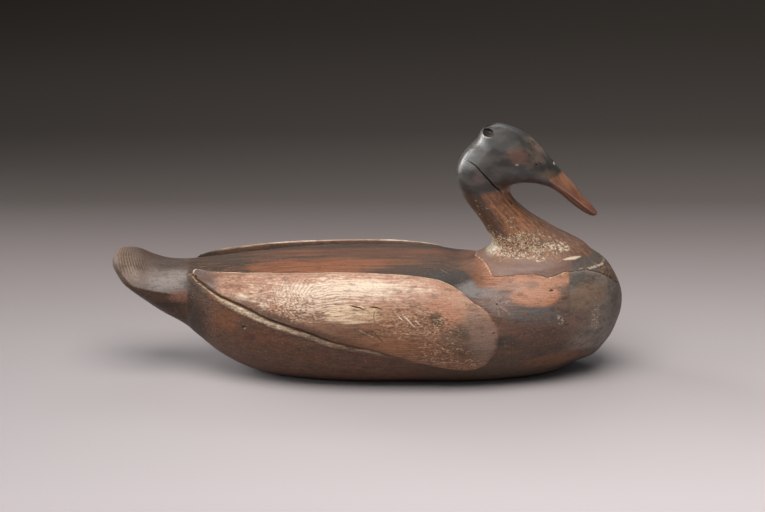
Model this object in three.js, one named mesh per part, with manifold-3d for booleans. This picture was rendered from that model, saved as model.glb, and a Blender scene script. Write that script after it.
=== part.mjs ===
// Merganser decoy, carved from wood: a body with raised wings, a flat underside and a paddle
// tail, and a neck with head and bill in one piece, let into a seat in the breast.
// Millimetres. +X points along the bill, +Z up. The origin is on the floor, under the middle.
import * as THREE from 'three';
import { mergeVertices } from 'three/addons/utils/BufferGeometryUtils.js';
import Module from 'manifold-3d';

const wasm = await Module();
wasm.setup();

// Driving sizes
const LENGTH = 457;
const TAIL_TIP = -LENGTH / 2;
const BREAST_TIP = LENGTH / 2;
const TAIL_ROUND = 26;
const BREAST_ROUND = 70;
const WAIST = -162;

// Wing panels: a step along the top, and a gouged groove with a proud lip below
const WING_RAISE = 2.2;
const WING_TIP = WAIST + 2;
const TIP_RAISE_SHARE = 0.6;
const TIP_RUN = 25;
const WING_SHOULDER = 0.45;
const STEP_WIDE = 1.1;
const WING_NOSE = { x: 86, z: 53, long: 28, high: 33.5 };
const NOSE_COLUMN = WING_NOSE.x + 0.7 * WING_NOSE.long;
const NOSE_BULGE = 0.3 * WING_NOSE.long;
const NOSE_START = 60;
const BULGE_END = 165;
const GROOVE_DEPTH = 1.8;
const GROOVE_OFFSET = 2.4;
const LIP_RAISE = 0.9;
const LIP_OFFSET = 5.2;
const LIP_FOOT = 10;
const GROOVE_FADE = [30, 86];

// Where the wing's edge rows run out to, as directions, at the tail and at the breast
const TAIL_ROWS = { lower: 0.2, upper: 0.9 };
const BREAST_ROWS = { lower: -0.3, upper: 0.7 };
const LEAST_REACH = 12;
const LEAST_KEEL = 0.35;

// How many rows and stations the skin has
const KEEL_ROWS = 2;
const FLANK_ROWS = 5;
const WING_ROWS = 8;
const BACK_ROWS = 4;
const TAIL_STATIONS = 7;
const WAIST_STATIONS = 5;
const WING_STATIONS = 24;
const NOSE_STATIONS = 4;
const CHEST_STATIONS = 5;
const BREAST_STATIONS = 9;

// Seat of the neck block: a V-shaped rear wall, and a shelf that rises from its rear corners
// and drops as it leaves the breast
const SEAT_APEX = 97;
const SEAT_CORNER = { x: 111.5, y: 43 };
const SHELF = [
  [60, 96.5], [116, 97], [141, 100.3], [185, 101], [203, 97], [214, 90], [224, 81], [250, 55],
];
const NECK_CLEAR_Z = 108.5;
const SEAM_GAP = 0.3;
const CLEAR_SIDE = 100;
const CLEAR_REAR = 40;
const CLEAR_FRONT = LENGTH / 2 + 20;
const CEILING = 300;

// Crest socket in the crown, left empty
const SOCKET = { x: 107.5, z: 221, long: 12, wide: 3.8, deep: 7, above: 12, lean: 22 };
const CHIP = { x: 106.5, y: -10.5, z: 221.5, long: 6.5, wide: 8, high: 3.6, lean: 12 };

// Smooth curve through a few points, held flat beyond them
function curve(points) {
  const xs = points.map((p) => p[0]);
  const ys = points.map((p) => p[1]);
  const last = xs.length - 1;
  const rise = (i) => (ys[i + 1] - ys[i]) / (xs[i + 1] - xs[i]);
  const slopeAt = (i) => {
    if (i === 0 || i === last) return 0;
    const before = rise(i - 1);
    const after = rise(i);
    if (before * after <= 0) return 0;
    return (2 * before * after) / (before + after);
  };
  return (x) => {
    if (x <= xs[0]) return ys[0];
    if (x >= xs[last]) return ys[last];
    let i = 0;
    while (x > xs[i + 1]) i += 1;
    const span = xs[i + 1] - xs[i];
    const t = (x - xs[i]) / span;
    const keep = (1 + 2 * t) * (1 - t) ** 2;
    const gain = t * t * (3 - 2 * t);
    const bend = t * (1 - t) ** 2 * slopeAt(i) - t * t * (1 - t) * slopeAt(i + 1);
    return keep * ys[i] + gain * ys[i + 1] + bend * span;
  };
}

const mix = (a, b, t) => a + (b - a) * t;
const clamp = (value, low, high) => Math.min(high, Math.max(low, value));
const blend = (low, high, value) => THREE.MathUtils.smoothstep(value, low, high);

// Directions in a cross-section, from the keel round the side to the back
const KEEL = -Math.PI / 2;
const BACK = Math.PI / 2;

// Body: height of the widest line, half width, and rise and drop from that line
const bodyAxis = curve([
  [TAIL_TIP, 98], [-215, 89], [-200, 82.5], [-188, 76.5], [-165, 66], [-135, 57],
  [-100, 52], [-50, 49.5], [0, 48], [90, 48], [135, 50], [185, 58], [BREAST_TIP, 65],
]);
const bodyHalfWidth = curve([
  [TAIL_TIP, 38], [-205, 38], [-188, 34.5], [-174, 29], [WAIST, 26.5], [-157, 30.5], [-150, 35.5],
  [-130, 47.5], [-100, 60.5], [-60, 71.5], [-20, 76.5], [20, 78], [65, 78], [100, 75.5],
  [130, 70.5], [160, 62.5], [185, 56], [205, 52], [BREAST_TIP, 45],
]);
const bodyRise = curve([
  [TAIL_TIP, 21], [-215, 23.5], [-200, 23.2], [-186, 25.8], [-165, 34], [-140, 42.5],
  [-100, 50.5], [-50, 54.5], [0, 56.5], [60, 56], [80, 54], [110, 53.5], [150, 54.5],
  [185, 56.5], [205, 59.5], [218, 55.5], [BREAST_TIP, 46],
]);
const bodyDrop = curve([
  [TAIL_TIP, 7], [-215, 8.8], [-200, 14.5], [-186, 20], [-165, 25], [-150, 32],
  [-130, 42], [-110, 49.5], [-80, 55], [-40, 57.5], [0, 57.5], [80, 57.5], [120, 57],
  [155, 57], [185, 55.5], [210, 64.5], [BREAST_TIP, 65],
]);
const topPower = curve([
  [-200, 2], [-150, 2.2], [-100, 2.7], [-40, 3], [30, 3], [62, 2.8], [84, 2.5], [110, 2.35],
  [150, 2.4], [190, 2.5],
]);
const basePower = curve([[-200, 2], [0, 2.05], [120, 2.05], [200, 2.05]]);

// Wing outline: the upper edge as a distance from the middle plane, the lower as a height
const wingUpperY = curve([
  [WING_TIP, 19], [-140, 31], [-115, 40.5], [-87, 46], [-60, 48.8], [-15, 50.5], [12, 51],
  [38, 53], [62, 57.5], [80, 60], [92, 66],
]);
const wingUpperZ = curve([
  [WING_TIP, 98], [-140, 99.2], [-87, 102.4], [-60, 103.4], [-15, 104.2], [12, 103.9], [38, 102.1],
  [62, 98], [80, 89],
]);
const wingLowerZ = curve([
  [WING_TIP, 94.5], [-149, 89], [-130, 81], [-107, 74.5], [-92, 68.5], [-58, 59], [-32, 50],
  [3, 42.5], [29, 34.5], [60, 24.5], [WING_NOSE.x, WING_NOSE.z - WING_NOSE.high],
]);

function roundedEnd(distance, length) {
  const t = clamp(1 - distance / length, 0, 1);
  return Math.sqrt(1 - t * t);
}

// One cross-section of the body as a superellipse with its own powers above and below
function section(x) {
  const end = roundedEnd(x - TAIL_TIP, TAIL_ROUND) * roundedEnd(BREAST_TIP - x, BREAST_ROUND);
  return {
    axis: bodyAxis(x),
    wide: bodyHalfWidth(x) * end,
    rise: bodyRise(x) * end,
    drop: bodyDrop(x) * end,
    topPower: topPower(x),
    basePower: basePower(x),
  };
}

// The direction, from the middle of the unit section, in which it reaches a height or a width
function angleAtHeight(s, z) {
  const up = z >= s.axis;
  const power = up ? s.topPower : s.basePower;
  const along = clamp(Math.abs(z - s.axis) / (up ? s.rise : s.drop), 0, 1);
  const angle = Math.atan2(along, (1 - along ** power) ** (1 / power));
  return up ? angle : -angle;
}

function angleAtWidth(s, y) {
  const across = clamp(y / s.wide, 0, 1);
  return Math.atan2((1 - across ** s.topPower) ** (1 / s.topPower), across);
}

// The section's point in one direction, pushed out by lift along the section's normal
function sectionPoint(s, angle, lift) {
  const up = angle >= 0;
  const power = up ? s.topPower : s.basePower;
  const height = up ? s.rise : -s.drop;
  const cosine = Math.abs(Math.cos(angle));
  const sine = Math.abs(Math.sin(angle));
  const reach = (cosine ** power + sine ** power) ** (-1 / power);
  const across = cosine * reach;
  const along = sine * reach;
  const normalY = across ** (power - 1) / s.wide;
  const normalZ = along ** (power - 1) / height;
  const size = Math.hypot(normalY, normalZ) || 1;
  const y = across * s.wide + (lift * normalY) / size;
  const z = s.axis + along * height + (lift * normalZ) / size;
  return [y, z];
}

function noseHalfHeight(x) {
  const t = clamp((x - WING_NOSE.x) / WING_NOSE.long, 0, 1);
  return WING_NOSE.high * Math.sqrt(1 - t * t);
}

// Angles of the wing's two edges in a section. Beyond its ends they run on as plain rows.
function wingEdges(x, s) {
  const nose = noseHalfHeight(Math.min(x, NOSE_COLUMN));
  const fromWidth = angleAtWidth(s, wingUpperY(x));
  const fromNose = angleAtHeight(s, WING_NOSE.z + nose);
  const upper = mix(fromWidth, fromNose, blend(NOSE_START, WING_NOSE.x, x));
  const lower = x < WING_NOSE.x
    ? angleAtHeight(s, wingLowerZ(x))
    : angleAtHeight(s, WING_NOSE.z - nose);
  const tail = blend(TAIL_TIP, WING_TIP, x);
  const breast = blend(NOSE_COLUMN + 5, BREAST_TIP - 20, x);
  return {
    upper: mix(mix(TAIL_ROWS.upper, upper, tail), BREAST_ROWS.upper, breast),
    lower: mix(mix(TAIL_ROWS.lower, lower, tail), BREAST_ROWS.lower, breast),
  };
}

// Rows of a half section from the keel to the middle of the back: the direction, the lift
// along the normal, the lift straight up, and how far the row bulges along x
function bodyRows(x) {
  const s = section(x);
  const onWing = x >= WING_TIP && x <= NOSE_COLUMN;
  const edges = wingEdges(x, s);
  const nose = blend(NOSE_START, WING_NOSE.x, x);
  const tip = mix(TIP_RAISE_SHARE, 1, blend(WING_TIP, WING_TIP + TIP_RUN, x));
  const lift = onWing ? WING_RAISE * tip : 0;
  const [upperY, upperZ] = sectionPoint(s, edges.upper, 0);
  const crest = onWing ? Math.max(0, wingUpperZ(x) - upperZ) * (1 - nose) : 0;
  const groove = onWing ? 1 - blend(GROOVE_FADE[0], GROOVE_FADE[1], x) : 0;
  const bulge = NOSE_BULGE * blend(NOSE_START, NOSE_COLUMN, x)
    * (1 - blend(NOSE_COLUMN + 2, BULGE_END, x));
  const [lowerY, lowerZ] = sectionPoint(s, edges.lower, 0);
  const perMillimetre = 1 / Math.max(LEAST_REACH, Math.hypot(lowerY, lowerZ - s.axis));
  const stepFoot = edges.upper + STEP_WIDE / Math.max(LEAST_REACH, Math.hypot(upperY, upperZ - s.axis));
  const flat = Math.max(angleAtHeight(s, 0), KEEL + LEAST_KEEL);
  const lipFoot = edges.lower - LIP_FOOT * perMillimetre;
  const rows = [];
  const run = (from, to, count) => {
    for (let i = 0; i < count; i += 1) rows.push([mix(from, to, i / count), 0, 0, 0]);
  };
  run(KEEL, flat, KEEL_ROWS);
  run(flat, lipFoot, FLANK_ROWS);
  rows.push([lipFoot, 0, 0, 0]);
  rows.push([edges.lower - LIP_OFFSET * perMillimetre, LIP_RAISE * groove, 0, 0]);
  rows.push([edges.lower - GROOVE_OFFSET * perMillimetre, -GROOVE_DEPTH * groove, 0, 0]);
  for (let i = 0; i <= WING_ROWS; i += 1) {
    const t = i / WING_ROWS;
    const top = blend(WING_SHOULDER, 1, t);
    const swell = bulge * 4 * t * (1 - t);
    rows.push([mix(edges.lower, edges.upper, t), mix(lift, lift * nose, top), crest * top, swell]);
  }
  run(stepFoot, BACK, BACK_ROWS);
  rows.push([BACK, 0, 0, 0]);
  return { s, rows };
}

function spread(from, to, count, ease = (t) => t) {
  return Array.from({ length: count }, (_, i) => mix(from, to, ease((i + 1) / count)));
}

const startRound = (t) => 1 - Math.cos((t * Math.PI) / 2);
const endRound = (t) => Math.sin((t * Math.PI) / 2);

const bodyStations = [
  TAIL_TIP,
  ...spread(TAIL_TIP, TAIL_TIP + TAIL_ROUND, TAIL_STATIONS, startRound),
  ...spread(TAIL_TIP + TAIL_ROUND, WAIST - 4, WAIST_STATIONS),
  ...spread(WAIST - 4, WING_TIP - 0.4, 2),
  ...spread(WING_TIP - 0.4, WING_TIP + 0.4, 1),
  ...spread(WING_TIP + 0.4, WING_NOSE.x, WING_STATIONS),
  ...spread(WING_NOSE.x, NOSE_COLUMN, NOSE_STATIONS),
  NOSE_COLUMN + 1.5,
  ...spread(NOSE_COLUMN + 1.5, BREAST_TIP - BREAST_ROUND, CHEST_STATIONS),
  ...spread(BREAST_TIP - BREAST_ROUND, BREAST_TIP, BREAST_STATIONS, endRound),
];

// A closed skin: a sphere's grid with each of its points moved to a station and a row
function skin(stationCount, rowCount, pointAt) {
  const around = 2 * (rowCount - 1);
  const along = stationCount - 1;
  const geometry = new THREE.SphereGeometry(1, around, along);
  const uv = geometry.attributes.uv;
  for (let i = 0; i < uv.count; i += 1) {
    const turn = THREE.MathUtils.euclideanModulo(Math.round(uv.getX(i) * around), around);
    const station = Math.round((1 - uv.getY(i)) * along);
    const row = turn < rowCount ? turn : around - turn;
    const side = turn < rowCount ? -1 : 1;
    const [x, y, z] = pointAt(station, row);
    geometry.attributes.position.setXYZ(i, x, side * y, z);
  }
  return solid(geometry);
}

function solid(geometry) {
  geometry.deleteAttribute('normal');
  geometry.deleteAttribute('uv');
  const merged = mergeVertices(geometry, 1e-4);
  const corner = merged.index.array;
  const faces = [];
  for (let i = 0; i < corner.length; i += 3) {
    const face = [corner[i], corner[i + 1], corner[i + 2]];
    if (new Set(face).size === 3) faces.push(...face);
  }
  return new wasm.Manifold(new wasm.Mesh({
    numProp: 3,
    vertProperties: merged.attributes.position.array,
    triVerts: new Uint32Array(faces),
  }));
}

function bodySkin() {
  const sections = bodyStations.map(bodyRows);
  const rowCount = sections[0].rows.length;
  return skin(bodyStations.length, rowCount, (station, row) => {
    const x = bodyStations[station];
    const [angle, lift, raise, swell] = sections[station].rows[row];
    const s = section(x + swell);
    if (s.wide < 0.01) return [x, 0, s.axis];
    const [y, z] = sectionPoint(s, angle, lift);
    const middle = row === 0 || row === rowCount - 1;
    return [x + swell, middle ? 0 : y, Math.max(0, z + raise)];
  });
}

// Neck, head and bill: cuts from the outer rail (back of the neck, crown, top of the bill) to
// the inner rail (breast, throat, underside of the bill), with the half width of each cut
const NECK_CUTS = [
  { outer: [92, 90], inner: [207, 92], wide: 50 },
  { outer: [90, 101], inner: [205, 103], wide: 44 },
  { outer: [101, 106], inner: [201.5, 108.8], wide: 37.5 },
  { outer: [108.5, 111], inner: [195.5, 114.5], wide: 31.5 },
  { outer: [110.8, 117.5], inner: [184.3, 120.8], wide: 27 },
  { outer: [106.2, 127.5], inner: [167.4, 129.5], wide: 23 },
  { outer: [100.2, 137.5], inner: [153.4, 137.8], wide: 20.5 },
  { outer: [92, 148.5], inner: [139.6, 147.3], wide: 19.5 },
  { outer: [84.2, 159.5], inner: [130.3, 156], wide: 19.5 },
  { outer: [79.5, 170], inner: [126, 164.8], wide: 21 },
  { outer: [78.2, 181], inner: [129, 170.4], wide: 23.5 },
  { outer: [81.2, 192.5], inner: [136, 172.4], wide: 26 },
  { outer: [87.9, 202.6], inner: [142, 172.4], wide: 27.5 },
  { outer: [96.2, 211.2], inner: [147, 171.8], wide: 28 },
  { outer: [101.6, 220.8], inner: [151, 170.9], wide: 27.5 },
  { outer: [113.4, 225], inner: [155, 169.4], wide: 26 },
  { outer: [127.8, 221.6], inner: [159.5, 168], wide: 23 },
  { outer: [141.4, 214.4], inner: [163.5, 166], wide: 19.5 },
  { outer: [152.2, 204.2], inner: [167.5, 163.2], wide: 16 },
  { outer: [161.8, 193.3], inner: [172, 159.6], wide: 12.5 },
  { outer: [170.9, 182.7], inner: [177, 155.6], wide: 9.8 },
  { outer: [183.6, 168.7], inner: [186, 148.6], wide: 8.2 },
  { outer: [193.2, 157.4], inner: [194, 143.4], wide: 7 },
  { outer: [200.4, 149.4], inner: [199.4, 141.1], wide: 5.4 },
  { outer: [203.9, 144.6], inner: [203, 141.5], wide: 3 },
];
const NECK_STEPS_PER_CUT = 2;
const NECK_ROWS = 15;
const NECK_FULLNESS = 0.92;

// The bill starts between two cuts, its mouth line is one row, and its tip is a blunt cap
const BILL_CUT = 19.6;
const BILL_LINE_ROW = 5;
const BILL_LINE_DEPTH = 0.9;
const BILL_CAP = { ahead: 0.9, down: 0.54 };

function neckSkin() {
  const last = NECK_CUTS.length - 1;
  const rail = (key) => new THREE.CatmullRomCurve3(
    NECK_CUTS.map((cut) => new THREE.Vector3(cut[key][0], cut.wide, cut[key][1])),
    false,
    'centripetal',
  );
  const outer = rail('outer');
  const inner = rail('inner');
  const steps = last * NECK_STEPS_PER_CUT;
  return skin(steps + 3, NECK_ROWS, (station, row) => {
    const step = clamp(station - 1, 0, steps);
    const a = outer.getPoint(step / steps);
    const b = inner.getPoint(step / steps);
    const capped = station === 0 || station === steps + 2;
    if (capped) {
      const cap = station === 0 ? 0 : 1;
      return [(a.x + b.x) / 2 + cap * BILL_CAP.ahead, 0, (a.z + b.z) / 2 - cap * BILL_CAP.down];
    }
    const angle = mix(KEEL, BACK, row / (NECK_ROWS - 1));
    const middle = row === 0 || row === NECK_ROWS - 1;
    const bill = blend(BILL_CUT, BILL_CUT + 0.8, step / NECK_STEPS_PER_CUT);
    const dent = row === BILL_LINE_ROW ? BILL_LINE_DEPTH * bill : 0;
    const across = middle ? 0 : a.y * Math.cos(angle) ** NECK_FULLNESS - dent;
    const along = Math.sin(angle);
    return [mix(b.x, a.x, (1 + along) / 2), across, mix(b.z, a.z, (1 + along) / 2)];
  });
}

// An outline pushed straight through along z, from one height to another
function prism(outline, bottom, top) {
  const shape = new THREE.Shape(outline.map(([x, y]) => new THREE.Vector2(x, y)));
  const geometry = new THREE.ExtrudeGeometry(shape, { depth: top - bottom, bevelEnabled: false });
  return solid(geometry.translate(0, 0, bottom));
}

// The room that the neck block takes: the seat, and everything above the back
function seat(gap) {
  const rear = SEAT_APEX + gap;
  const corner = SEAT_CORNER.x + gap;
  const plan = prism([
    [rear, 0], [corner, -SEAT_CORNER.y], [corner, -CLEAR_SIDE], [CLEAR_FRONT, -CLEAR_SIDE],
    [CLEAR_FRONT, CLEAR_SIDE], [corner, CLEAR_SIDE], [corner, SEAT_CORNER.y],
  ], 0, CEILING);
  const profile = SHELF.map(([x, z]) => [x, z + gap]);
  profile.push([SHELF.at(-1)[0], CEILING], [SHELF[0][0], CEILING]);
  const shelf = prism(profile, -CLEAR_SIDE, CLEAR_SIDE).rotate([90, 0, 0]);
  const above = prism([
    [CLEAR_REAR, -CLEAR_SIDE], [CLEAR_FRONT, -CLEAR_SIDE], [CLEAR_FRONT, CLEAR_SIDE],
    [CLEAR_REAR, CLEAR_SIDE],
  ], NECK_CLEAR_Z + gap, CEILING);
  return plan.intersect(shelf).add(above);
}

// The slot of the crest, with its near wall broken out
function socket() {
  const end = SOCKET.long / 2;
  const side = SOCKET.wide / 2;
  const shoulder = end * 0.6;
  const tip = side / 2;
  const outline = [
    [-end, -tip], [-shoulder, -side], [shoulder, -side], [end, -tip],
    [end, tip], [shoulder, side], [-shoulder, side], [-end, tip],
  ];
  const slot = prism(outline, -SOCKET.deep, SOCKET.above).rotate([0, -SOCKET.lean, 0]);
  const scoop = solid(new THREE.SphereGeometry(1, 10, 8)).scale([CHIP.long, CHIP.wide, CHIP.high]);
  return slot.translate([SOCKET.x, 0, SOCKET.z])
    .add(scoop.rotate([0, -CHIP.lean, 0]).translate([CHIP.x, CHIP.y, CHIP.z]));
}

function named(name, manifold, colour, roughness) {
  const mesh = manifold.getMesh();
  const geometry = new THREE.BufferGeometry();
  geometry.setAttribute('position', new THREE.BufferAttribute(mesh.vertProperties, 3));
  geometry.setIndex(new THREE.BufferAttribute(mesh.triVerts, 1));
  geometry.computeVertexNormals();
  const material = new THREE.MeshStandardMaterial({ color: colour, roughness, metalness: 0 });
  const piece = new THREE.Mesh(geometry, material);
  piece.name = name;
  return piece;
}

const carving = bodySkin().add(neckSkin());
const body = carving.subtract(seat(-SEAM_GAP / 2));
const headNeck = carving.intersect(seat(SEAM_GAP / 2)).subtract(socket());

const decoy = new THREE.Group();
decoy.add(named('body', body, 0x6b4a38, 0.6));
decoy.add(named('head_neck', headNeck, 0x4a4038, 0.5));

export default decoy;
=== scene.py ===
# %% [markdown]
# # A merganser decoy
#
# This lesson dresses a carved hunting decoy: a body with raised wings and a paddle tail, and a
# neck, head and bill carved from a second block that is let into the breast. The packed
# model gives the size and the place of both blocks. Here they get a fine surface, their
# cracks and chips, and many years of worn paint.

import math
from types import SimpleNamespace

import bmesh
import bpy
import numpy as np
from mathutils import Matrix, Vector, kdtree, noise
from mathutils.bvhtree import BVHTree


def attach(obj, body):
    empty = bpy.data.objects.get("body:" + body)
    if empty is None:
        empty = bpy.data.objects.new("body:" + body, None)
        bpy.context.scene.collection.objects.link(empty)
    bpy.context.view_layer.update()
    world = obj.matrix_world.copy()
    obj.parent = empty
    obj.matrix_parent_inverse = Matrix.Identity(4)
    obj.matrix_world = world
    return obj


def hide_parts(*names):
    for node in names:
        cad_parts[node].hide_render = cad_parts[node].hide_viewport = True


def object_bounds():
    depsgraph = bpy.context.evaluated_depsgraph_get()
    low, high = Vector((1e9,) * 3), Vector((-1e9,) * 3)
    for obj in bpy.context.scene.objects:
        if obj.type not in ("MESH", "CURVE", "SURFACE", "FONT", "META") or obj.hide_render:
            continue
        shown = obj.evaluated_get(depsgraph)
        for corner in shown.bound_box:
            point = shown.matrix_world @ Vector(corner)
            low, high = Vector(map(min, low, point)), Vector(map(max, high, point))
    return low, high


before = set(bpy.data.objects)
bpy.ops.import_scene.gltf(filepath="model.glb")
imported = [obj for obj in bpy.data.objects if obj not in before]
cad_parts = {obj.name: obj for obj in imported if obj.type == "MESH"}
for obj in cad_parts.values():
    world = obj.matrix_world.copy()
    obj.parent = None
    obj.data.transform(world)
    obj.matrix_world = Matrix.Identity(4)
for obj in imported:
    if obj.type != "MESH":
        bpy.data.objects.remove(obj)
cad_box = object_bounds()
MM = 0.001
size_mm = [round((high - low) / MM, 1) for low, high in zip(*cad_box)]

# %% [markdown]
# ## Curves that a carver would draw
#
# The maker of the real decoy laid a side pattern and a top pattern on the block and sawed
# round them. A few named points and a smooth curve through them do the same job here. The
# curve is a monotone cubic: it never bulges past its points, so a flat stretch stays flat.
# All the carving is worked out in millimetres, and MM turns it into metres at the end.


# %% Curves and blends
def curve(points):
    """A smooth curve through a few points, level at both ends, that never overshoots them."""
    xs, ys = np.array(points, float).T
    rise = np.diff(ys) / np.diff(xs)
    before, after = rise[:-1], rise[1:]
    same_way = before * after > 0
    slope = np.zeros(len(xs))
    slope[1:-1] = np.where(same_way, 2 * before * after / np.where(same_way, before + after, 1), 0)

    def at(x):
        x = np.clip(x, xs[0], xs[-1])
        i = np.clip(np.searchsorted(xs, x, side="right") - 1, 0, len(xs) - 2)
        span = xs[i + 1] - xs[i]
        t = (x - xs[i]) / span
        keep = (1 + 2 * t) * (1 - t) ** 2
        bend = t * (1 - t) ** 2 * slope[i] - t * t * (1 - t) * slope[i + 1]
        return keep * ys[i] + (1 - keep) * ys[i + 1] + bend * span

    return at


def mix(a, b, t):
    return a + (b - a) * t


def blend(low, high, value):
    t = np.clip((value - low) / (high - low), 0, 1)
    return t * t * (3 - 2 * t)


# %% Driving sizes of the body, in millimetres
LENGTH = size_mm[0]
TAIL_TIP = -LENGTH / 2
BREAST_TIP = LENGTH / 2
TAIL_ROUND = 26
BREAST_ROUND = 70
WAIST = -162
KEEL = -math.pi / 2
BACK = math.pi / 2

WING_RAISE = 2.2
WING_TIP = WAIST + 2
WING_NOSE = SimpleNamespace(x=86, z=50, long=28, high=30.5)
NOSE_COLUMN = WING_NOSE.x + 0.7 * WING_NOSE.long
NOSE_BULGE = 0.3 * WING_NOSE.long
NOSE_START = 60
NOSE_TOP = (80, 99)
print("body from", TAIL_TIP, "to", BREAST_TIP, "mm, with wings from", WING_TIP, "mm")

# %% [markdown]
# ### Side and top patterns
#
# The side view is an axis line with a rise above it and a drop below it, and the top view is
# a half width. Two more curves say how full the cuts are. They could be read off a drawing
# point by point, but a dozen points each are enough, because the curve is smooth between.

# %% Side and top patterns
body_axis = curve([
    (TAIL_TIP, 98), (-215, 89), (-200, 82.5), (-188, 76.5), (-165, 66), (-135, 57),
    (-100, 52), (-50, 49.5), (0, 48), (90, 48), (135, 50), (185, 58), (BREAST_TIP, 65),
])
body_half_width = curve([
    (TAIL_TIP, 38), (-205, 38), (-188, 34.5), (-174, 29), (WAIST, 26.5), (-157, 30.5),
    (-150, 35.5), (-130, 47.5), (-100, 60.5), (-60, 71.5), (-20, 76.5), (20, 78), (65, 78),
    (100, 75.5), (130, 70.5), (160, 62.5), (185, 56), (205, 52), (BREAST_TIP, 45),
])
body_rise = curve([
    (TAIL_TIP, 21), (-215, 23.5), (-200, 23.2), (-186, 25.8), (-165, 34), (-140, 42.5),
    (-100, 50.5), (-50, 54.5), (0, 56.5), (60, 56), (80, 54), (110, 53.5), (150, 54.5),
    (185, 56.5), (205, 59.5), (218, 55.5), (BREAST_TIP, 46),
])
body_drop = curve([
    (TAIL_TIP, 7), (-215, 8.8), (-200, 14.5), (-186, 20), (-165, 25), (-150, 32),
    (-130, 42), (-110, 49.5), (-80, 55), (-40, 57.5), (0, 57.5), (80, 57.5), (120, 57),
    (155, 57), (185, 55.5), (210, 64.5), (BREAST_TIP, 65),
])
top_power = curve([
    (-200, 2), (-150, 2.2), (-100, 2.7), (-40, 3), (30, 3), (62, 2.8), (84, 2.5),
    (110, 2.35), (150, 2.4), (190, 2.5),
])
base_power = curve([(-200, 2), (0, 2.05), (120, 2.05), (200, 2.05)])
print("half width in the middle", float(body_half_width(0)), "mm")

# %% Lines of the wings, from above and from the side
wing_upper_y = curve([
    (WING_TIP, 19), (-140, 31), (-115, 40.5), (-87, 46), (-60, 48.8), (-15, 50.5), (12, 51),
    (38, 52.5), (62, 55), (72, 56), (80, 58.5), (88, 62.5), (96, 67),
])
wing_upper_z = curve([
    (WING_TIP, 99.3), (-140, 101), (-118, 101.8), (-87, 102.7), (-60, 103.5), (-15, 104.2),
    (12, 103.9), (38, 102.1), (62, 98.2), (72, 94.8), (80, 91), (90, 85),
])
wing_lower_z = curve([
    (WING_TIP, 94.5), (-149, 89), (-130, 81), (-107, 74.5), (-92, 68.5), (-58, 59), (-32, 50),
    (3, 42.5), (29, 34.5), (60, 24.5), (WING_NOSE.x, WING_NOSE.z - WING_NOSE.high),
])
print("wings rise to", float(wing_upper_z(0)), "mm")


# %% [markdown]
# ## Cross-sections
#
# Cut across, the body is neither round nor square. A superellipse covers the whole range
# with one power: 2 is an ellipse, and 3 is a fuller, boxier shape like the back between
# the wings. The upper and lower halves have powers of their own. A direction, from the
# keel round the side to the middle of the back, names a point of the section, and the
# same direction on the next section continues the row.


# %% Sections
LEAST_END = 1e-4


def rounded_end(distance, length):
    t = np.clip(1 - distance / length, 0, 1)
    return np.sqrt(1 - t * t)


def section(x):
    """The cross-sections at x, all of their sizes in one record."""
    end = rounded_end(x - TAIL_TIP, TAIL_ROUND) * rounded_end(BREAST_TIP - x, BREAST_ROUND)
    end = np.maximum(end, LEAST_END)
    return SimpleNamespace(
        axis=body_axis(x), wide=body_half_width(x) * end, rise=body_rise(x) * end,
        drop=body_drop(x) * end, top=top_power(x), base=base_power(x),
    )


middle = section(np.array([0.0]))
print("mid section: half width", middle.wide[0], "rise", middle.rise[0], "drop", middle.drop[0])


# %% Directions and points on a section
def angle_at_height(s, z):
    up = z >= s.axis
    power = np.where(up, s.top, s.base)
    along = np.clip(np.abs(z - s.axis) / np.where(up, s.rise, s.drop), 0, 1)
    angle = np.arctan2(along, (1 - along**power) ** (1 / power))
    return np.where(up, angle, -angle)


def angle_at_width(s, y):
    across = np.clip(y / s.wide, 0, 1)
    return np.arctan2((1 - across**s.top) ** (1 / s.top), across)


def section_point(s, angle, lift):
    """The point in one direction, pushed out by lift along the section's normal."""
    up = angle >= 0
    power = np.where(up, s.top, s.base)
    height = np.where(up, s.rise, -s.drop)
    cosine, sine = np.abs(np.cos(angle)), np.abs(np.sin(angle))
    reach = (cosine**power + sine**power) ** (-1 / power)
    across, along = cosine * reach, sine * reach
    normal_y = across ** (power - 1) / s.wide
    normal_z = along ** (power - 1) / height
    size = np.hypot(normal_y, normal_z)
    return across * s.wide + lift * normal_y / size, s.axis + along * height + lift * normal_z / size


print("the middle of the back is", section_point(middle, np.array([BACK]), 0)[1][0], "mm high")

# %% [markdown]
# ## Where the wings lie on the sections
#
# The carver cut a step along the top of each wing and a gouged groove under it, with a lip
# of the flank standing proud below the groove. Both edges are rows of the skin, so they
# stay crisp with few points. The same two functions measure, for any point, how far it is
# from the wing's edges: the paint uses that later for its worn lines and its dirt.

# %% The knife's waver and the wing's rounded front
def waver(x, height, length, start):
    """A slow uneven wander, as of a knife that follows a drawn line by eye."""
    steps = x / length + start
    return height * (np.sin(steps) + 0.6 * np.sin(2.3 * steps + 1) + 0.4 * np.sin(5.1 * steps + 2)) / 2


def nose_half_height(x):
    t = np.clip((x - WING_NOSE.x) / WING_NOSE.long, 0, 1)
    return WING_NOSE.high * np.sqrt(1 - t * t)


print("front of the wing", float(2 * nose_half_height(NOSE_COLUMN)), "mm high at its last column")

# %% Wing edges
TAIL_EDGE_ANGLES = (0.2, 0.9)
BREAST_EDGE_ANGLES = (-0.3, 0.7)
LEAST_REACH = 12
LOWER_WAVER = (0.5, 9, 0)
UPPER_WAVER = (0.4, 11, 3)


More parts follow.
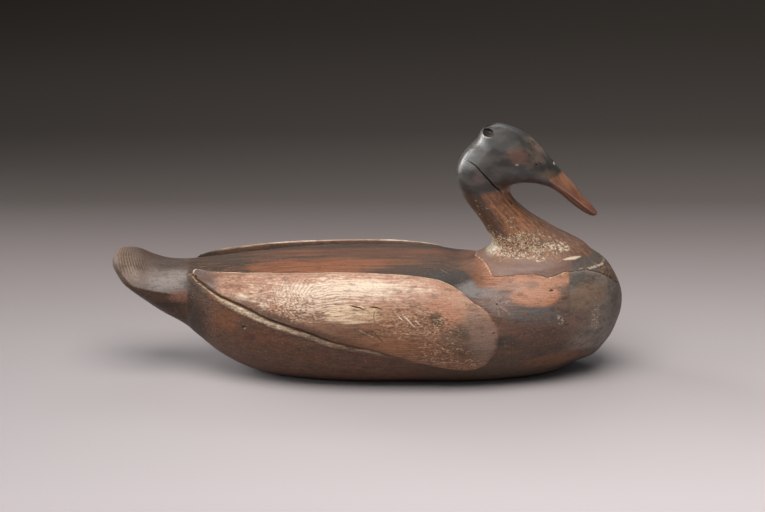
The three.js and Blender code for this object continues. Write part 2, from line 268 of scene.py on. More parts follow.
def wing_edges(x, s):
    """Angles of the wing's lower and upper edge, and how many radians go in a millimetre."""
    nose = nose_half_height(np.minimum(x, NOSE_COLUMN))
    from_width = angle_at_width(s, wing_upper_y(x))
    from_nose = angle_at_height(s, WING_NOSE.z + nose)
    upper = mix(from_width, from_nose, blend(*NOSE_TOP, x))
    under = np.where(x < WING_NOSE.x, wing_lower_z(x), WING_NOSE.z - nose)
    lower = angle_at_height(s, under)
    tail = blend(TAIL_TIP, WING_TIP, x)
    breast = blend(NOSE_COLUMN + 5, BREAST_TIP - 20, x)
    lower = mix(mix(TAIL_EDGE_ANGLES[0], lower, tail), BREAST_EDGE_ANGLES[0], breast)
    upper = mix(mix(TAIL_EDGE_ANGLES[1], upper, tail), BREAST_EDGE_ANGLES[1], breast)
    lower_y, lower_z = section_point(s, lower, 0)
    upper_y, upper_z = section_point(s, upper, 0)
    per_lower = 1 / np.maximum(LEAST_REACH, np.hypot(lower_y, lower_z - s.axis))
    per_upper = 1 / np.maximum(LEAST_REACH, np.hypot(upper_y, upper_z - s.axis))
    lower = lower + waver(x, *LOWER_WAVER) * per_lower
    upper = upper + waver(x, *UPPER_WAVER) * per_upper
    return SimpleNamespace(
        lower=lower, upper=upper, per_lower=per_lower, per_upper=per_upper, upper_z=upper_z,
    )


print("edges across the middle, in radians", wing_edges(np.array([0.0]), middle).lower)

# %% [markdown]
# ### The step, the groove and the lip
#
# Cut across its edge, the wing's relief is the same nearly everywhere, so three small curves
# hold it: how high the wood stands at each distance from the edge. The wing then fades into
# the body at its tip and its front, where the carver ran out of depth.

# %% Heights of the step, the groove and the lip, by the distance from the edge
GROOVE_FADE = (-40, 45)
flank_relief = curve([(-13, 0), (-7.5, 1.0), (-4.6, 0.85), (-1.6, -0.75), (-0.2, -0.35), (0.8, 0)])
lower_step = curve([(-1.6, 0), (-0.4, 0.3), (1.2, 0.84), (4, 1)])
upper_step = curve([(-1.6, 1), (-0.5, 0.93), (0.3, 0.55), (0.9, 0.1), (1.3, 0)])
NOSE_STEP = 3
NOSE_HEIGHT = 0.5
TIP_SHARE = 0.6
TIP_RUN = 25
LOW_EDGE_SHARE = 0.35
BULGE_END = 165


def wing_lifts(x, angle, edges):
    """Lift along the normal, lift straight up and shift along x of points on the sections."""
    over_lower = (angle - edges.lower) / edges.per_lower
    past_upper = (angle - edges.upper) / edges.per_upper
    t = np.clip((angle - edges.lower) / (edges.upper - edges.lower), 0, 1)
    top = blend(0.45, 1, t)
    nose = blend(NOSE_START, WING_NOSE.x, x)
    before_front = 1 - blend(NOSE_COLUMN - 1, NOSE_COLUMN + NOSE_STEP, x)
    there = blend(WING_TIP - 0.5, WING_TIP + 0.5, x) * before_front
    full = WING_RAISE * mix(TIP_SHARE, 1, blend(WING_TIP, WING_TIP + TIP_RUN, x)) * there
    full = full * mix(1, NOSE_HEIGHT, blend(NOSE_START, NOSE_COLUMN, x))
    crest = np.maximum(0, wing_upper_z(x) - edges.upper_z) * (1 - nose) * there
    groove = (1 - blend(*GROOVE_FADE, x)) * there
    low_edge = mix(mix(1, LOW_EDGE_SHARE, blend(*GROOVE_FADE, x)), 1, blend(0, 0.4, t))
    ends = lower_step(over_lower) * upper_step(past_upper) * low_edge
    lift = mix(full, full * nose, top) * ends + flank_relief(over_lower) * groove
    bulge = NOSE_BULGE * blend(NOSE_START, NOSE_COLUMN, x) * (1 - blend(NOSE_COLUMN + 2, BULGE_END, x))
    return lift, crest * top * ends, bulge * 4 * t * (1 - t)


print("groove depth", round(float(-flank_relief(-1.6)), 2), "mm, wing step", WING_RAISE, "mm")

# %% [markdown]
# ## The body's skin
#
# A carving like this could be sculpted by hand, but then nothing in the file would say
# where its edges are. A UV sphere is a better start: it is closed, its poles become the
# tips of tail and breast, its rings become the stations along the body, and each ring's
# points become the rows. One function says where each of them goes.


# %% A closed skin from a sphere
WELD = 0.01


def object_of(bm, name):
    mesh = bpy.data.meshes.new(name)
    bm.to_mesh(mesh)
    bm.free()
    return bpy.data.objects.new(name, mesh)


def skin(name, along, around, place):
    """A sphere's grid, with each point moved to where place(station, turn) puts it."""
    bm = bmesh.new()
    bmesh.ops.create_uvsphere(bm, u_segments=around, v_segments=along, radius=1)
    grid = np.array([v.co for v in bm.verts])
    station = np.rint(np.arccos(np.clip(grid[:, 2], -1, 1)) / math.pi * along).astype(int)
    turn = np.rint(np.arctan2(grid[:, 1], grid[:, 0]) / (2 * math.pi) * around).astype(int) % around
    for vert, spot in zip(bm.verts, place(station, turn)):
        vert.co = spot
    bmesh.ops.remove_doubles(bm, verts=bm.verts, dist=WELD)
    bmesh.ops.recalc_face_normals(bm, faces=bm.faces)
    return object_of(bm, name)


def half_turn(turn, rows):
    """Row and side of a grid point: the rows go up one side and come down the other."""
    around = 2 * (rows - 1)
    first = turn < rows
    return np.where(first, turn, around - turn), np.where(first, -1.0, 1.0)


print("the last point of a ring of 8 is on row", half_turn(7, 5)[0])

# %% [markdown]
# ### Stations and rows
#
# Stations stand close where the shape turns fast: at both round ends, at the waist and where
# the wing begins and ends. Rows follow the wing's edges, so the edges need no extra cuts. An
# even grid would need many times the points for the same crispness.


# %% Stations along the body
def spread(start, end, count, ease=lambda t: t):
    return mix(start, end, ease(np.arange(1, count + 1) / count))


def start_round(t):
    return 1 - np.cos(t * math.pi / 2)


def end_round(t):
    return np.sin(t * math.pi / 2)


body_stations = np.concatenate([
    [TAIL_TIP],
    spread(TAIL_TIP, TAIL_TIP + TAIL_ROUND, 24, start_round),
    spread(TAIL_TIP + TAIL_ROUND, WAIST - 4, 23),
    spread(WAIST - 4, WING_TIP - 0.5, 5),
    spread(WING_TIP - 0.5, WING_TIP + 0.5, 2),
    spread(WING_TIP + 0.5, WING_NOSE.x, 150),
    spread(WING_NOSE.x, NOSE_COLUMN, 15),
    spread(NOSE_COLUMN, NOSE_COLUMN + NOSE_STEP, 4),
    spread(NOSE_COLUMN + NOSE_STEP, BREAST_TIP - BREAST_ROUND, 30),
    spread(BREAST_TIP - BREAST_ROUND, BREAST_TIP, 40, end_round),
])
print(len(body_stations), "stations")


# %% Rows round the body
def run(start, end, count):
    steps = np.arange(count) / count
    return start[:, None] + (end - start)[:, None] * steps


LEAST_KEEL = 0.35
LIP_FOOT = 11
x = body_stations
s = section(x)
edges = wing_edges(x, s)
flat = np.maximum(angle_at_height(s, 0), KEEL + LEAST_KEEL)
most = 0.35 * (edges.upper - edges.lower)
lip_foot = edges.lower - LIP_FOOT * edges.per_lower
panel_low = edges.lower + np.minimum(3 * edges.per_lower, most)
panel_high = edges.upper - np.minimum(2 * edges.per_upper, most)
step_foot = edges.upper + 2 * edges.per_upper
body_angles = np.hstack([
    run(np.full_like(x, KEEL), flat, 7),
    run(flat, lip_foot, 24),
    run(lip_foot, panel_low, 26),
    run(panel_low, panel_high, 40),
    run(panel_high, step_foot, 12),
    run(step_foot, np.full_like(x, BACK), 23),
    np.full((len(x), 1), BACK),
])
body_rows = body_angles.shape[1]
print(body_rows, "rows")


# %% The body's points
def column(record):
    """The same record with its lists of stations stood up, to meet a list of rows."""
    return SimpleNamespace(**{key: value[:, None] for key, value in vars(record).items()})


lift, raised, shift = wing_lifts(x[:, None], body_angles, column(edges))
body_x = x[:, None] + shift
body_y, body_z = section_point(section(body_x), body_angles, lift)
body_y[:, [0, -1]] = 0
body_z = np.maximum(0, body_z + raised)


def place_on_body(station, turn):
    row, side = half_turn(turn, body_rows)
    return np.stack([
        body_x[station, row], side * body_y[station, row], body_z[station, row],
    ], axis=1)


body = skin("body_skin", len(body_stations) - 1, 2 * (body_rows - 1), place_on_body)
print("body skin", len(body.data.vertices), "points")

# %% [markdown]
# ## The neck, head and bill
#
# The second block is a bent, tapering form. Two rails carry it: the outer one runs up the
# back of the neck, over the crown and down the top of the bill, and the inner one up the
# breast and throat and out under the bill. Between the rails, half widths give each cut
# its breadth. A centripetal spline through the rails bends smoothly and never loops.

# %% Cuts of the neck block: outer rail x and z, inner rail x and z, half width
NECK_CUTS = np.array([
    (92, 90, 207, 92, 50), (90, 101, 205, 103, 44), (101, 106, 201.5, 108.8, 37.5),
    (108.5, 111, 195.5, 114.5, 31.5), (110.8, 117.5, 184.3, 120.8, 27),
    (106.2, 127.5, 167.4, 129.5, 23), (100.2, 137.5, 153.4, 137.8, 20.5),
    (92, 148.5, 139.6, 147.3, 19.5), (84.2, 159.5, 130.3, 156, 19.5),
    (79.5, 170, 126, 164.8, 21), (78.2, 181, 129, 170.4, 23.5), (81.2, 192.5, 136, 172.4, 26),
    (87.9, 202.6, 142, 172.4, 27.5), (96.2, 211.2, 147, 171.8, 28),
    (101.6, 220.8, 151, 170.9, 27.5), (113.4, 225, 155, 169.4, 26),
    (127.8, 221.6, 159.5, 168, 23), (141.4, 214.4, 163.5, 166, 19.5),
    (152.2, 204.2, 167.5, 163.2, 16), (161.8, 193.3, 172, 159.6, 12.5),
    (170.9, 182.7, 177, 155.6, 9.8), (183.6, 168.7, 186, 148.6, 8.2),
    (193.2, 157.4, 194, 143.4, 7), (200.4, 149.4, 199.4, 141.1, 5.4), (203.9, 144.6, 203, 141.5, 3),
])
STEPS_PER_CUT = 9
print(len(NECK_CUTS), "cuts of the neck block")


# %% Rails
def rail(points, steps):
    """Points of a centripetal spline, with the same number of steps between each two."""
    ahead, behind = 2 * points[0] - points[1], 2 * points[-1] - points[-2]
    knots = np.vstack([ahead, points, behind])
    made = []
    for i in range(len(points) - 1):
        p0, p1, p2, p3 = knots[i : i + 4]
        d0, d1, d2 = (np.linalg.norm(b - a) ** 0.5 for a, b in ((p0, p1), (p1, p2), (p2, p3)))
        out = ((p1 - p0) / d0 - (p2 - p0) / (d0 + d1) + (p2 - p1) / d1) * d1
        into = ((p2 - p1) / d1 - (p3 - p1) / (d1 + d2) + (p3 - p2) / d2) * d1
        for t in np.arange(steps) / steps:
            start, end = 2 * t**3 - 3 * t**2 + 1, 3 * t**2 - 2 * t**3
            made.append(start * p1 + end * p2 + t * (1 - t) ** 2 * out - t * t * (1 - t) * into)
    return np.array([*made, points[-1]])


outer = rail(NECK_CUTS[:, [0, 4, 1]], STEPS_PER_CUT)
inner = rail(NECK_CUTS[:, [2, 4, 3]], STEPS_PER_CUT)
print("neck rails of", len(outer), "steps")


# %% The neck's skin
NECK_ROWS = 56
NECK_FULLNESS = 0.92
BILL_CUT = 19.6
MOUTH = SimpleNamespace(angle=math.radians(-25.7), wide=0.075, deep=0.9)
BILL_CAP = 0.9 * np.array([1, 0, -0.6])


def place_on_neck(station, turn):
    row, side = half_turn(turn, NECK_ROWS)
    last = len(outer) - 1
    step = np.clip(station - 1, 0, last)
    a, b = outer[step], inner[step]
    angle = mix(KEEL, BACK, row / (NECK_ROWS - 1))
    bill = blend(BILL_CUT, BILL_CUT + 0.8, step / STEPS_PER_CUT)
    mouth = np.exp(-(((angle - MOUTH.angle) / MOUTH.wide) ** 2)) * bill
    across = a[:, 1] * np.cos(angle) ** NECK_FULLNESS - MOUTH.deep * mouth
    across = np.where((row == 0) | (row == NECK_ROWS - 1), 0, across)
    share = ((1 + np.sin(angle)) / 2)[:, None]
    spots = mix(b, a, share)
    spots[:, 1] = side * across
    capped = (station == 0) | (station == last + 2)
    ahead = np.where(station == 0, 0, 1)[:, None] * BILL_CAP
    centre = (a + b) / 2 * np.array([1, 0, 1]) + ahead
    return np.where(capped[:, None], centre, spots)


neck = skin("neck_skin", len(outer) + 1, 2 * (NECK_ROWS - 1), place_on_neck)
print("neck skin", len(neck.data.vertices), "points")

# %% [markdown]
# ## One carving, then two blocks
#
# On the real decoy the neck block was let into the body first, and the two were carved as
# one, so their surfaces run into each other. The same order works here: join the skins,
# soften the valley where the neck flares into the back, and only then cut the joint. That
# way the joint is a clean knife line through one surface.


# %% Joining and cutting
def combine(piece, tool, operation):
    """Joins a tool's form to a piece, or cuts it away, and puts the result in the piece."""
    scene = bpy.context.scene.collection
    for thing in (piece, tool):
        scene.objects.link(thing)
    modifier = piece.modifiers.new(operation, "BOOLEAN")
    modifier.operation = operation
    modifier.object = tool
    modifier.solver = "MANIFOLD"
    bpy.context.view_layer.update()
    evaluated = piece.evaluated_get(bpy.context.evaluated_depsgraph_get())
    mesh = bpy.data.meshes.new_from_object(evaluated)
    piece.modifiers.remove(modifier)
    for thing in (piece, tool):
        scene.objects.unlink(thing)
    if len(mesh.polygons) in (0, len(piece.data.polygons)):
        raise RuntimeError(f"{operation} of {tool.name} changed nothing or took all of {piece.name}")
    piece.data = mesh
    return piece


print("cutting uses the manifold solver")


# %% Trees, points and copies
def tree_of(thing):
    bm = bmesh.new()
    bm.from_mesh(thing.data)
    tree = BVHTree.FromBMesh(bm)
    bm.free()
    return tree


def points_of(mesh):
    places = np.zeros(len(mesh.vertices) * 3)
    mesh.vertices.foreach_get("co", places)
    return places.reshape(-1, 3)


def nearest_of(spots):
    tree = kdtree.KDTree(len(spots))
    for i, spot in enumerate(spots):
        tree.insert(spot, i)
    tree.balance()
    return tree


def copy_of(thing, name):
    made = thing.copy()
    made.data = thing.data.copy()
    made.name = name
    return made


body_tree, neck_tree = tree_of(body), tree_of(neck)
carving = combine(copy_of(body, "carving"), neck, "UNION")
print("joined carving", len(carving.data.vertices), "points")

# %% Soften the valley between neck and back
ON_SKIN = 0.02
VALLEY_REACHES = ((16, 14), (12, 16), (8, 18), (5, 12))


def soften_valley(mesh):
    """Smooths what lies near both skins, in rings that close in on the crease."""
    bm = bmesh.new()
    bm.from_mesh(mesh)
    crease = [
        v.co.copy() for v in bm.verts
        if max(tree.find_nearest(v.co)[3] for tree in (body_tree, neck_tree)) < ON_SKIN
    ]
    tree = nearest_of(crease)
    reach = {v: tree.find(v.co)[2] for v in bm.verts}
    for limit, rounds in VALLEY_REACHES:
        near = [v for v, distance in reach.items() if distance < limit]
        for _ in range(rounds):
            bmesh.ops.smooth_vert(
                bm, verts=near, factor=0.5, use_axis_x=True, use_axis_y=True, use_axis_z=True,
            )
    bm.to_mesh(mesh)
    bm.free()
    return len(crease)


print("crease of", soften_valley(carving.data), "points softened")

# %% [markdown]
# ## The knife's unevenness
#
# No hand leaves a surface as true as a formula does. A slow unevenness, drawn out along the
# grain, is enough to break up the highlights. It is made as geometry, because it should
# still be there when the mesh is exported.

# %% Unevenness along the grain
SLOW_SIZES = np.array([46, 13, 13])
FINE_SIZES = np.array([17, 2.6, 2.6])
FINE_PLACE = np.array([9, 0, 0])
FINE_SHARE = 0.22
KNIFE_DEPTH = 0.45
UNDERSIDE = 0.05


def uneven(mesh, depth):
    """Moves each point along its normal by a slow noise that is stretched along the grain."""
    mesh.update()
    places = points_of(mesh)
    moved = places.copy()
    for i, vert in enumerate(mesh.vertices):
        p = places[i]
        if p[2] < UNDERSIDE:
            continue
        slow = noise.noise(Vector(p / SLOW_SIZES))
        fine = noise.noise(Vector(p / FINE_SIZES + FINE_PLACE))
        moved[i] += np.array(vert.normal) * depth * (slow + FINE_SHARE * fine)
    mesh.vertices.foreach_set("co", moved.ravel())
    mesh.update()


uneven(carving.data, KNIFE_DEPTH)
print("surface made uneven")

# %% [markdown]
# ## The seat of the neck block
#
# Seen from above, the rear of the seat is a blunt V, and its floor is a shelf that drops
# away towards the breast. A few points give each outline, and an extrusion turns it into a
# solid. The floor's edge wanders in front, where the joint has opened and its lips are
# broken. The body loses the seat, and the head and neck are what lies inside it.

# %% Seat solids
SEAT_APEX = 97
SEAT_CORNER = SimpleNamespace(x=111.5, y=43)
SHELF = [
    (60, 96.5), (116, 97), (141, 100.4), (149, 99.8), (157, 97.6), (171, 100.8), (190, 100.8),
    (205, 96.5), (214, 90.5), (220, 85), (250, 55),
]
NECK_CLEAR_Z = 108.5
SEAM_GAP = 0.36
CEILING = 300
SIDE = 100
print("the seat starts at", SEAT_APEX, "mm, with a gap of", SEAM_GAP, "mm")


# %% A solid from an outline, and the shelf's outline
def prism(name, outline, depth):
    """An outline in the plane of x and y, pushed up along z by its depth."""
    bm = bmesh.new()
    face = bm.faces.new([bm.verts.new((px, py, 0)) for px, py in outline])
    pushed = bmesh.ops.extrude_face_region(bm, geom=[face])["geom"]
    verts = [v for v in pushed if isinstance(v, bmesh.types.BMVert)]
    bmesh.ops.translate(bm, verts=verts, vec=(0, 0, depth))
    bmesh.ops.recalc_face_normals(bm, faces=bm.faces)
    return object_of(bm, name)


SHELF_STEPS = 160
WORN_JOINT = (138, 165)
BROKEN_LIP = (0.4, 3.4, 1)
SLOW_LIP = (0.3, 9, 5)


def shelf_outline(gap):
    """The shelf's profile in fine steps, with the wander of the worn joint in front."""
    xs = np.linspace(SHELF[0][0], SHELF[-1][0], SHELF_STEPS)
    heights = np.interp(xs, *np.array(SHELF).T)
    worn = blend(*WORN_JOINT, xs)
    heights = heights + waver(xs, *BROKEN_LIP) * worn + waver(xs, *SLOW_LIP) + gap * (1 + 0.6 * worn)
    return [*zip(xs, heights), (SHELF[-1][0], CEILING), (SHELF[0][0], CEILING)]


print("shelf of", len(shelf_outline(0)), "points")


# %% Cut the seat and part the two blocks
def seat(gap):
    rear, corner, front = SEAT_APEX + gap, SEAT_CORNER.x + gap, BREAST_TIP + 20
    plan = prism("seat_plan", [
        (rear, 0), (corner, -SEAT_CORNER.y), (corner, -SIDE), (front, -SIDE), (front, SIDE),
        (corner, SIDE), (corner, SEAT_CORNER.y),
    ], CEILING)
    shelf = prism("seat_shelf", shelf_outline(gap), 2 * SIDE)
    shelf.data.transform(Matrix.Translation((0, SIDE, 0)) @ Matrix.Rotation(math.pi / 2, 4, "X"))
    above = prism("above", [(40, -SIDE), (front, -SIDE), (front, SIDE), (40, SIDE)], CEILING)
    above.data.transform(Matrix.Translation((0, 0, NECK_CLEAR_Z + gap)))
    return combine(combine(plan, shelf, "INTERSECT"), above, "UNION")


body_piece = combine(copy_of(carving, "body"), seat(-SEAM_GAP / 2), "DIFFERENCE")
head_piece = combine(copy_of(carving, "head_neck"), seat(SEAM_GAP / 2), "INTERSECT")
print("body", len(body_piece.data.vertices), "head and neck", len(head_piece.data.vertices), "points")

# %% [markdown]
# ## Cracks, holes and chips
#
# Each loss is a small cutter. A crack is a thin blade that follows the surface: it comes
# from the same sphere grid, four points round and pointed at both ends, laid along a line
# of points and turned to the surface's normal at each. A nail hole is a thin ball, and a
# chip is a flat one. They bite into the wood as the real ones do, so they catch real
# shadow. Blender starts its vector noise from the clock, so the wander of a crack gets a
# seed, and each run then cuts the same cracks.


# %% Crack
def along_line(points, count):
    points = np.array(points, float)
    lengths = np.concatenate([[0], np.cumsum(np.linalg.norm(np.diff(points, axis=0), axis=1))])
    at = np.linspace(0, lengths[-1], count)
    return np.stack([np.interp(at, lengths, points[:, i]) for i in range(3)], axis=1)


WANDER_SIZE = 2.2
WANDER_SEED = 7
noise.seed_set(WANDER_SEED)


def crack(name, tree, points, wide, deep, ragged=0.35, count=40):
    """A blade along the surface under a line of points, pointed at both ends."""
    feet, normals = [], []
    for spot in along_line(points, count + 1):
        wander = noise.noise_vector(Vector(spot) / WANDER_SIZE) * ragged
        foot, normal, _, _ = tree.find_nearest(Vector(spot) + wander)
        feet.append(foot)
        normals.append(normal)
    feet, normals = np.array(feet), np.array(normals)
    ahead = np.gradient(feet, axis=0)
    sides = np.cross(ahead, normals)
    sides /= np.linalg.norm(sides, axis=1, keepdims=True)

    def place(station, turn):
        bulge = np.sqrt(np.sin(station / count * math.pi))[:, None]
        across = np.choose(turn, [1, 0, -1, 0])[:, None] * wide / 2 * bulge
        over = np.choose(turn, [0.5, 1.2, 0.5, 0.0])[:, None]
        down = np.choose(turn, [0.0, 0.0, 0.0, 1.0])[:, None] * deep * bulge
        return feet[station] + sides[station] * across + normals[station] * (over - down)

    return skin(name, count, 4, place)


print("cracks wander by noise of", WANDER_SIZE, "mm")

# %% Pit or chip
LUMPS = SimpleNamespace(high=0.18, often=1.7)


def ball(name, tree, centre, radii, turn_y=0):
    """A lumpy egg with its middle on the surface, for a hole, a pit or a chip."""
    centre = tree.find_nearest(Vector(centre))[0]
    bm = bmesh.new()
    bmesh.ops.create_icosphere(bm, subdivisions=3, radius=1)
    for vert in bm.verts:
        vert.co *= 1 + LUMPS.high * noise.noise(vert.co * LUMPS.often + Vector(centre))
    lean = Matrix.Rotation(math.radians(turn_y), 3, "Y")
    bmesh.ops.scale(bm, vec=radii, verts=bm.verts)
    bmesh.ops.rotate(bm, cent=(0, 0, 0), matrix=lean, verts=bm.verts)
    bmesh.ops.translate(bm, vec=centre, verts=bm.verts)
    return object_of(bm, name)


def cut_all(piece, cutters):
    for cutter in cutters:
        combine(piece, cutter, "DIFFERENCE")
    print(piece.name, "after", len(cutters), "cuts:", len(piece.data.vertices), "points")


print("pits are lumpy by", LUMPS.high, "of their size")

# %% The head's empty crest slot
SOCKET = SimpleNamespace(x=107.5, z=221, long=12, wide=3.8, deep=7, lean=22)
CHIP = SimpleNamespace(x=104.6, y=-11.5, z=220, long=6.6, wide=8, high=3.4, lean=14)
head_tree = tree_of(head_piece)


def crest_slot():
    half, wide = SOCKET.long / 2, SOCKET.wide / 2
    slot = prism("crest_slot", [
        (-half, -wide * 0.5), (-half * 0.6, -wide), (half * 0.6, -wide), (half, -wide * 0.5),
        (half, wide * 0.5), (half * 0.6, wide), (-half * 0.6, wide), (-half, wide * 0.5),
    ], SOCKET.deep + 12)
    slot.data.transform(
        Matrix.Translation((SOCKET.x, 0, SOCKET.z))
        @ Matrix.Rotation(-math.radians(SOCKET.lean), 4, "Y")
        @ Matrix.Translation((0, 0, -SOCKET.deep))
    )
    return slot


print("crest slot", SOCKET.long, "by", SOCKET.wide, "mm")

# %% The head's cracks and nail holes
HEAD_CRACK = [
    (87.1, -13.4, 195.4), (93.8, -20.9, 192.9), (98.1, -24, 188.7), (102.5, -25.3, 184.1),
    (106.9, -24.9, 179.4), (111.6, -21.9, 173.2), (116.2, -18.4, 169.1), (119.5, -15.5, 163.5),
]
NECK_CRACK = [(119.5, -15.5, 163.5), (123.7, -12.8, 158.9), (130.1, -10.5, 152.7)]
NAPE_SLITS = {
    "nape_slit": [(80.8, -5, 190), (83.6, -6.5, 196.5), (89.6, -5.5, 204.3)],
    "nape_split": [(83.4, -10.5, 193), (86.5, -11.5, 199), (91.5, -9.5, 205)],
}
head_cutters = [
    crest_slot(),
    ball(
        "crest_chip", head_tree, (CHIP.x, CHIP.y, CHIP.z), (CHIP.long, CHIP.wide, CHIP.high), CHIP.lean,
    ),
    crack("head_crack", head_tree, HEAD_CRACK, 1.7, 5),
    crack("neck_crack", head_tree, NECK_CRACK, 0.9, 2),
    *[crack(name, head_tree, points, 0.9, 3, 0.1) for name, points in NAPE_SLITS.items()],
    ball("brow_nail", head_tree, (162.6, -2.6, 192.4), (1.5, 1.6, 2.4)),
    ball("eye_pit", head_tree, (147.1, -21.7, 193.1), (1.3, 1.6, 1.2)),
]
cut_all(head_piece, head_cutters)

# %% The body's cracks, pits and chips
whole = tree_of(body_piece)
FLANK_PIT = (-108.4, -57.6, 55.7)
cut_all(body_piece, [
    crack("patch_crack_rear", whole, [(-16, -73.8, 80.8), (-9, -74.6, 80), (-2, -75.7, 77.4)], 1.7, 4),
    crack("patch_crack_front", whole, [(1.5, -74.9, 80.1), (8, -75.4, 79.6), (13.5, -75.9, 78)], 1.4, 3.5),
    crack("patch_end", whole, [(6.3, -76.4, 77.5), (5.4, -77.2, 74), (5.8, -78.7, 66.5)], 0.8, 2),
    crack("wing_split", whole, [(3.9, -79.5, 60.6), (9, -80, 54), (15.2, -80.1, 47.1)], 0.7, 1.5),
    ball("breast_nail", whole, (160.7, -53, 87.8), (1.7, 2, 1.1)),
    ball("breast_dent", whole, (112.6, -64.8, 79.2), (1.0, 1.2, 0.9)),
    ball("breast_pit", whole, (109.8, -76.2, 56.2), (1.3, 1.2, 0.9)),
    ball("flank_pit", whole, FLANK_PIT, (1.6, 1.1, 1.0)),
    ball("tip_chip_front", whole, (-153.4, -24.5, 91.6), (2.2, 1.6, 1.3)),
    ball("tip_chip_low", whole, (-150.2, -28.5, 88.2), (1.5, 1.4, 1.2)),
])

# %% [markdown]
# ## Marks that the paint can follow
#
# Worn paint is not random: it goes first on edges, and dirt stays in grooves. The rows of
# the skin know how far they are from the wing's edges, so each point of the finished body
# takes three distances from the nearest points of the skin, in millimetres: how far it is
# over the wing's lower edge, past its upper edge and behind its front edge. The paint reads
# them as attributes, and they stay with the mesh when it is exported.


# %% Distances from the wing's edges
NEIGHBOURS = 3
NO_DISTANCE = 0.05


def near_values(places, spots, values):
    """For each place, the mean of the values of its nearest spots, weighted by nearness."""
    tree = nearest_of(spots)
    found = []
    for place in places:
        near = tree.find_n(place, NEIGHBOURS)
        weights = np.array([1 / (distance + NO_DISTANCE) ** 2 for _, _, distance in near])
        found.append(weights @ values[[i for _, i, _ in near]] / weights.sum())
    return np.array(found)


def mark_edges(piece):
    rows = np.stack([
        (body_angles - edges.lower[:, None]) / edges.per_lower[:, None],
        (body_angles - edges.upper[:, None]) / edges.per_upper[:, None],
        NOSE_COLUMN - np.repeat(x[:, None], body_rows, axis=1),
    ], axis=-1)
    spots = np.stack([body_x, -body_y, body_z], axis=-1)
    places = points_of(piece.data) * (1, -1, 1)
    places[:, 1] = -np.abs(places[:, 1])
    values = near_values(places, spots.reshape(-1, 3), rows.reshape(-1, 3))
    for name, column_of_values in zip(("over_lower", "past_upper", "behind_front"), values.T):
        attribute = piece.data.attributes.new(name, "FLOAT", "POINT")
        attribute.data.foreach_set("value", column_of_values.astype(np.float32))
    print(piece.name, "marked at", len(values), "points")


mark_edges(body_piece)

# %% [markdown]
# ## Put the pieces in the frame
#
# The pieces are finished in millimetres. They are scaled to metres in their meshes, so that
# their objects stay at the origin, and each takes the place of the solid that it dresses.

# %% Put a finished piece in the frame
SHARP_EDGE = math.radians(52)


def settle(piece, node):
    bm = bmesh.new()
    bm.from_mesh(piece.data)
    bmesh.ops.dissolve_degenerate(bm, edges=bm.edges, dist=WELD)
    bmesh.ops.triangulate(bm, faces=bm.faces)
    bmesh.ops.scale(bm, vec=(MM, MM, MM), verts=bm.verts)
    bm.to_mesh(piece.data)
    bm.free()
    piece.data.shade_smooth()
    piece.data.set_sharp_from_angle(angle=SHARP_EDGE)
    piece.name = node + "_wood"
    bpy.context.scene.collection.objects.link(piece)
    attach(piece, "root")
    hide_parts(node)
    print(piece.name, len(piece.data.polygons), "triangles")


settle(body_piece, "body")
settle(head_piece, "head_neck")

# %% [markdown]
# ## Mixing paint with nodes
#
# A finish is a tree of small sums. Written as nodes one by one, it would be hundreds of
# lines, so a socket is wrapped in a small class, and a plain expression on it adds the
# Math nodes that work it out. Every other kind of node comes from one method.


# %% A socket that can be reckoned with
class Value:
    """One output of a finish's node tree. An expression on values adds its Math nodes."""

    def __init__(self, finish, socket):
        self.finish = finish
        self.socket = socket

    def math(self, operation, a, b):
        return self.finish.node("ShaderNodeMath", {"operation": operation}, {0: a, 1: b})

    def __add__(self, other):
        return self.math("ADD", self, other)

    def __radd__(self, other):
        return self.math("ADD", other, self)

    def __sub__(self, other):
        return self.math("SUBTRACT", self, other)

    def __rsub__(self, other):
        return self.math("SUBTRACT", other, self)

    def __mul__(self, other):
        return self.math("MULTIPLY", self, other)

    def __rmul__(self, other):
        return self.math("MULTIPLY", other, self)

    def __truediv__(self, other):
        return self.math("DIVIDE", self, other)

    def __or__(self, other):
        return self.math("MAXIMUM", self, other)

    def __and__(self, other):
        return self.math("MINIMUM", self, other)


# %% Paints
def tone(paint):
    """A colour as a paint chart gives it, from 0 to 255, in the linear light of a shader."""
    if isinstance(paint, Value):
        return paint
    parts = [c / 255 for c in paint]
    return (*[c / 12.92 if c <= 0.04045 else ((c + 0.055) / 1.055) ** 2.4 for c in parts], 1)


print("the linear light of middle grey is", [round(part, 3) for part in tone((128, 128, 128))])


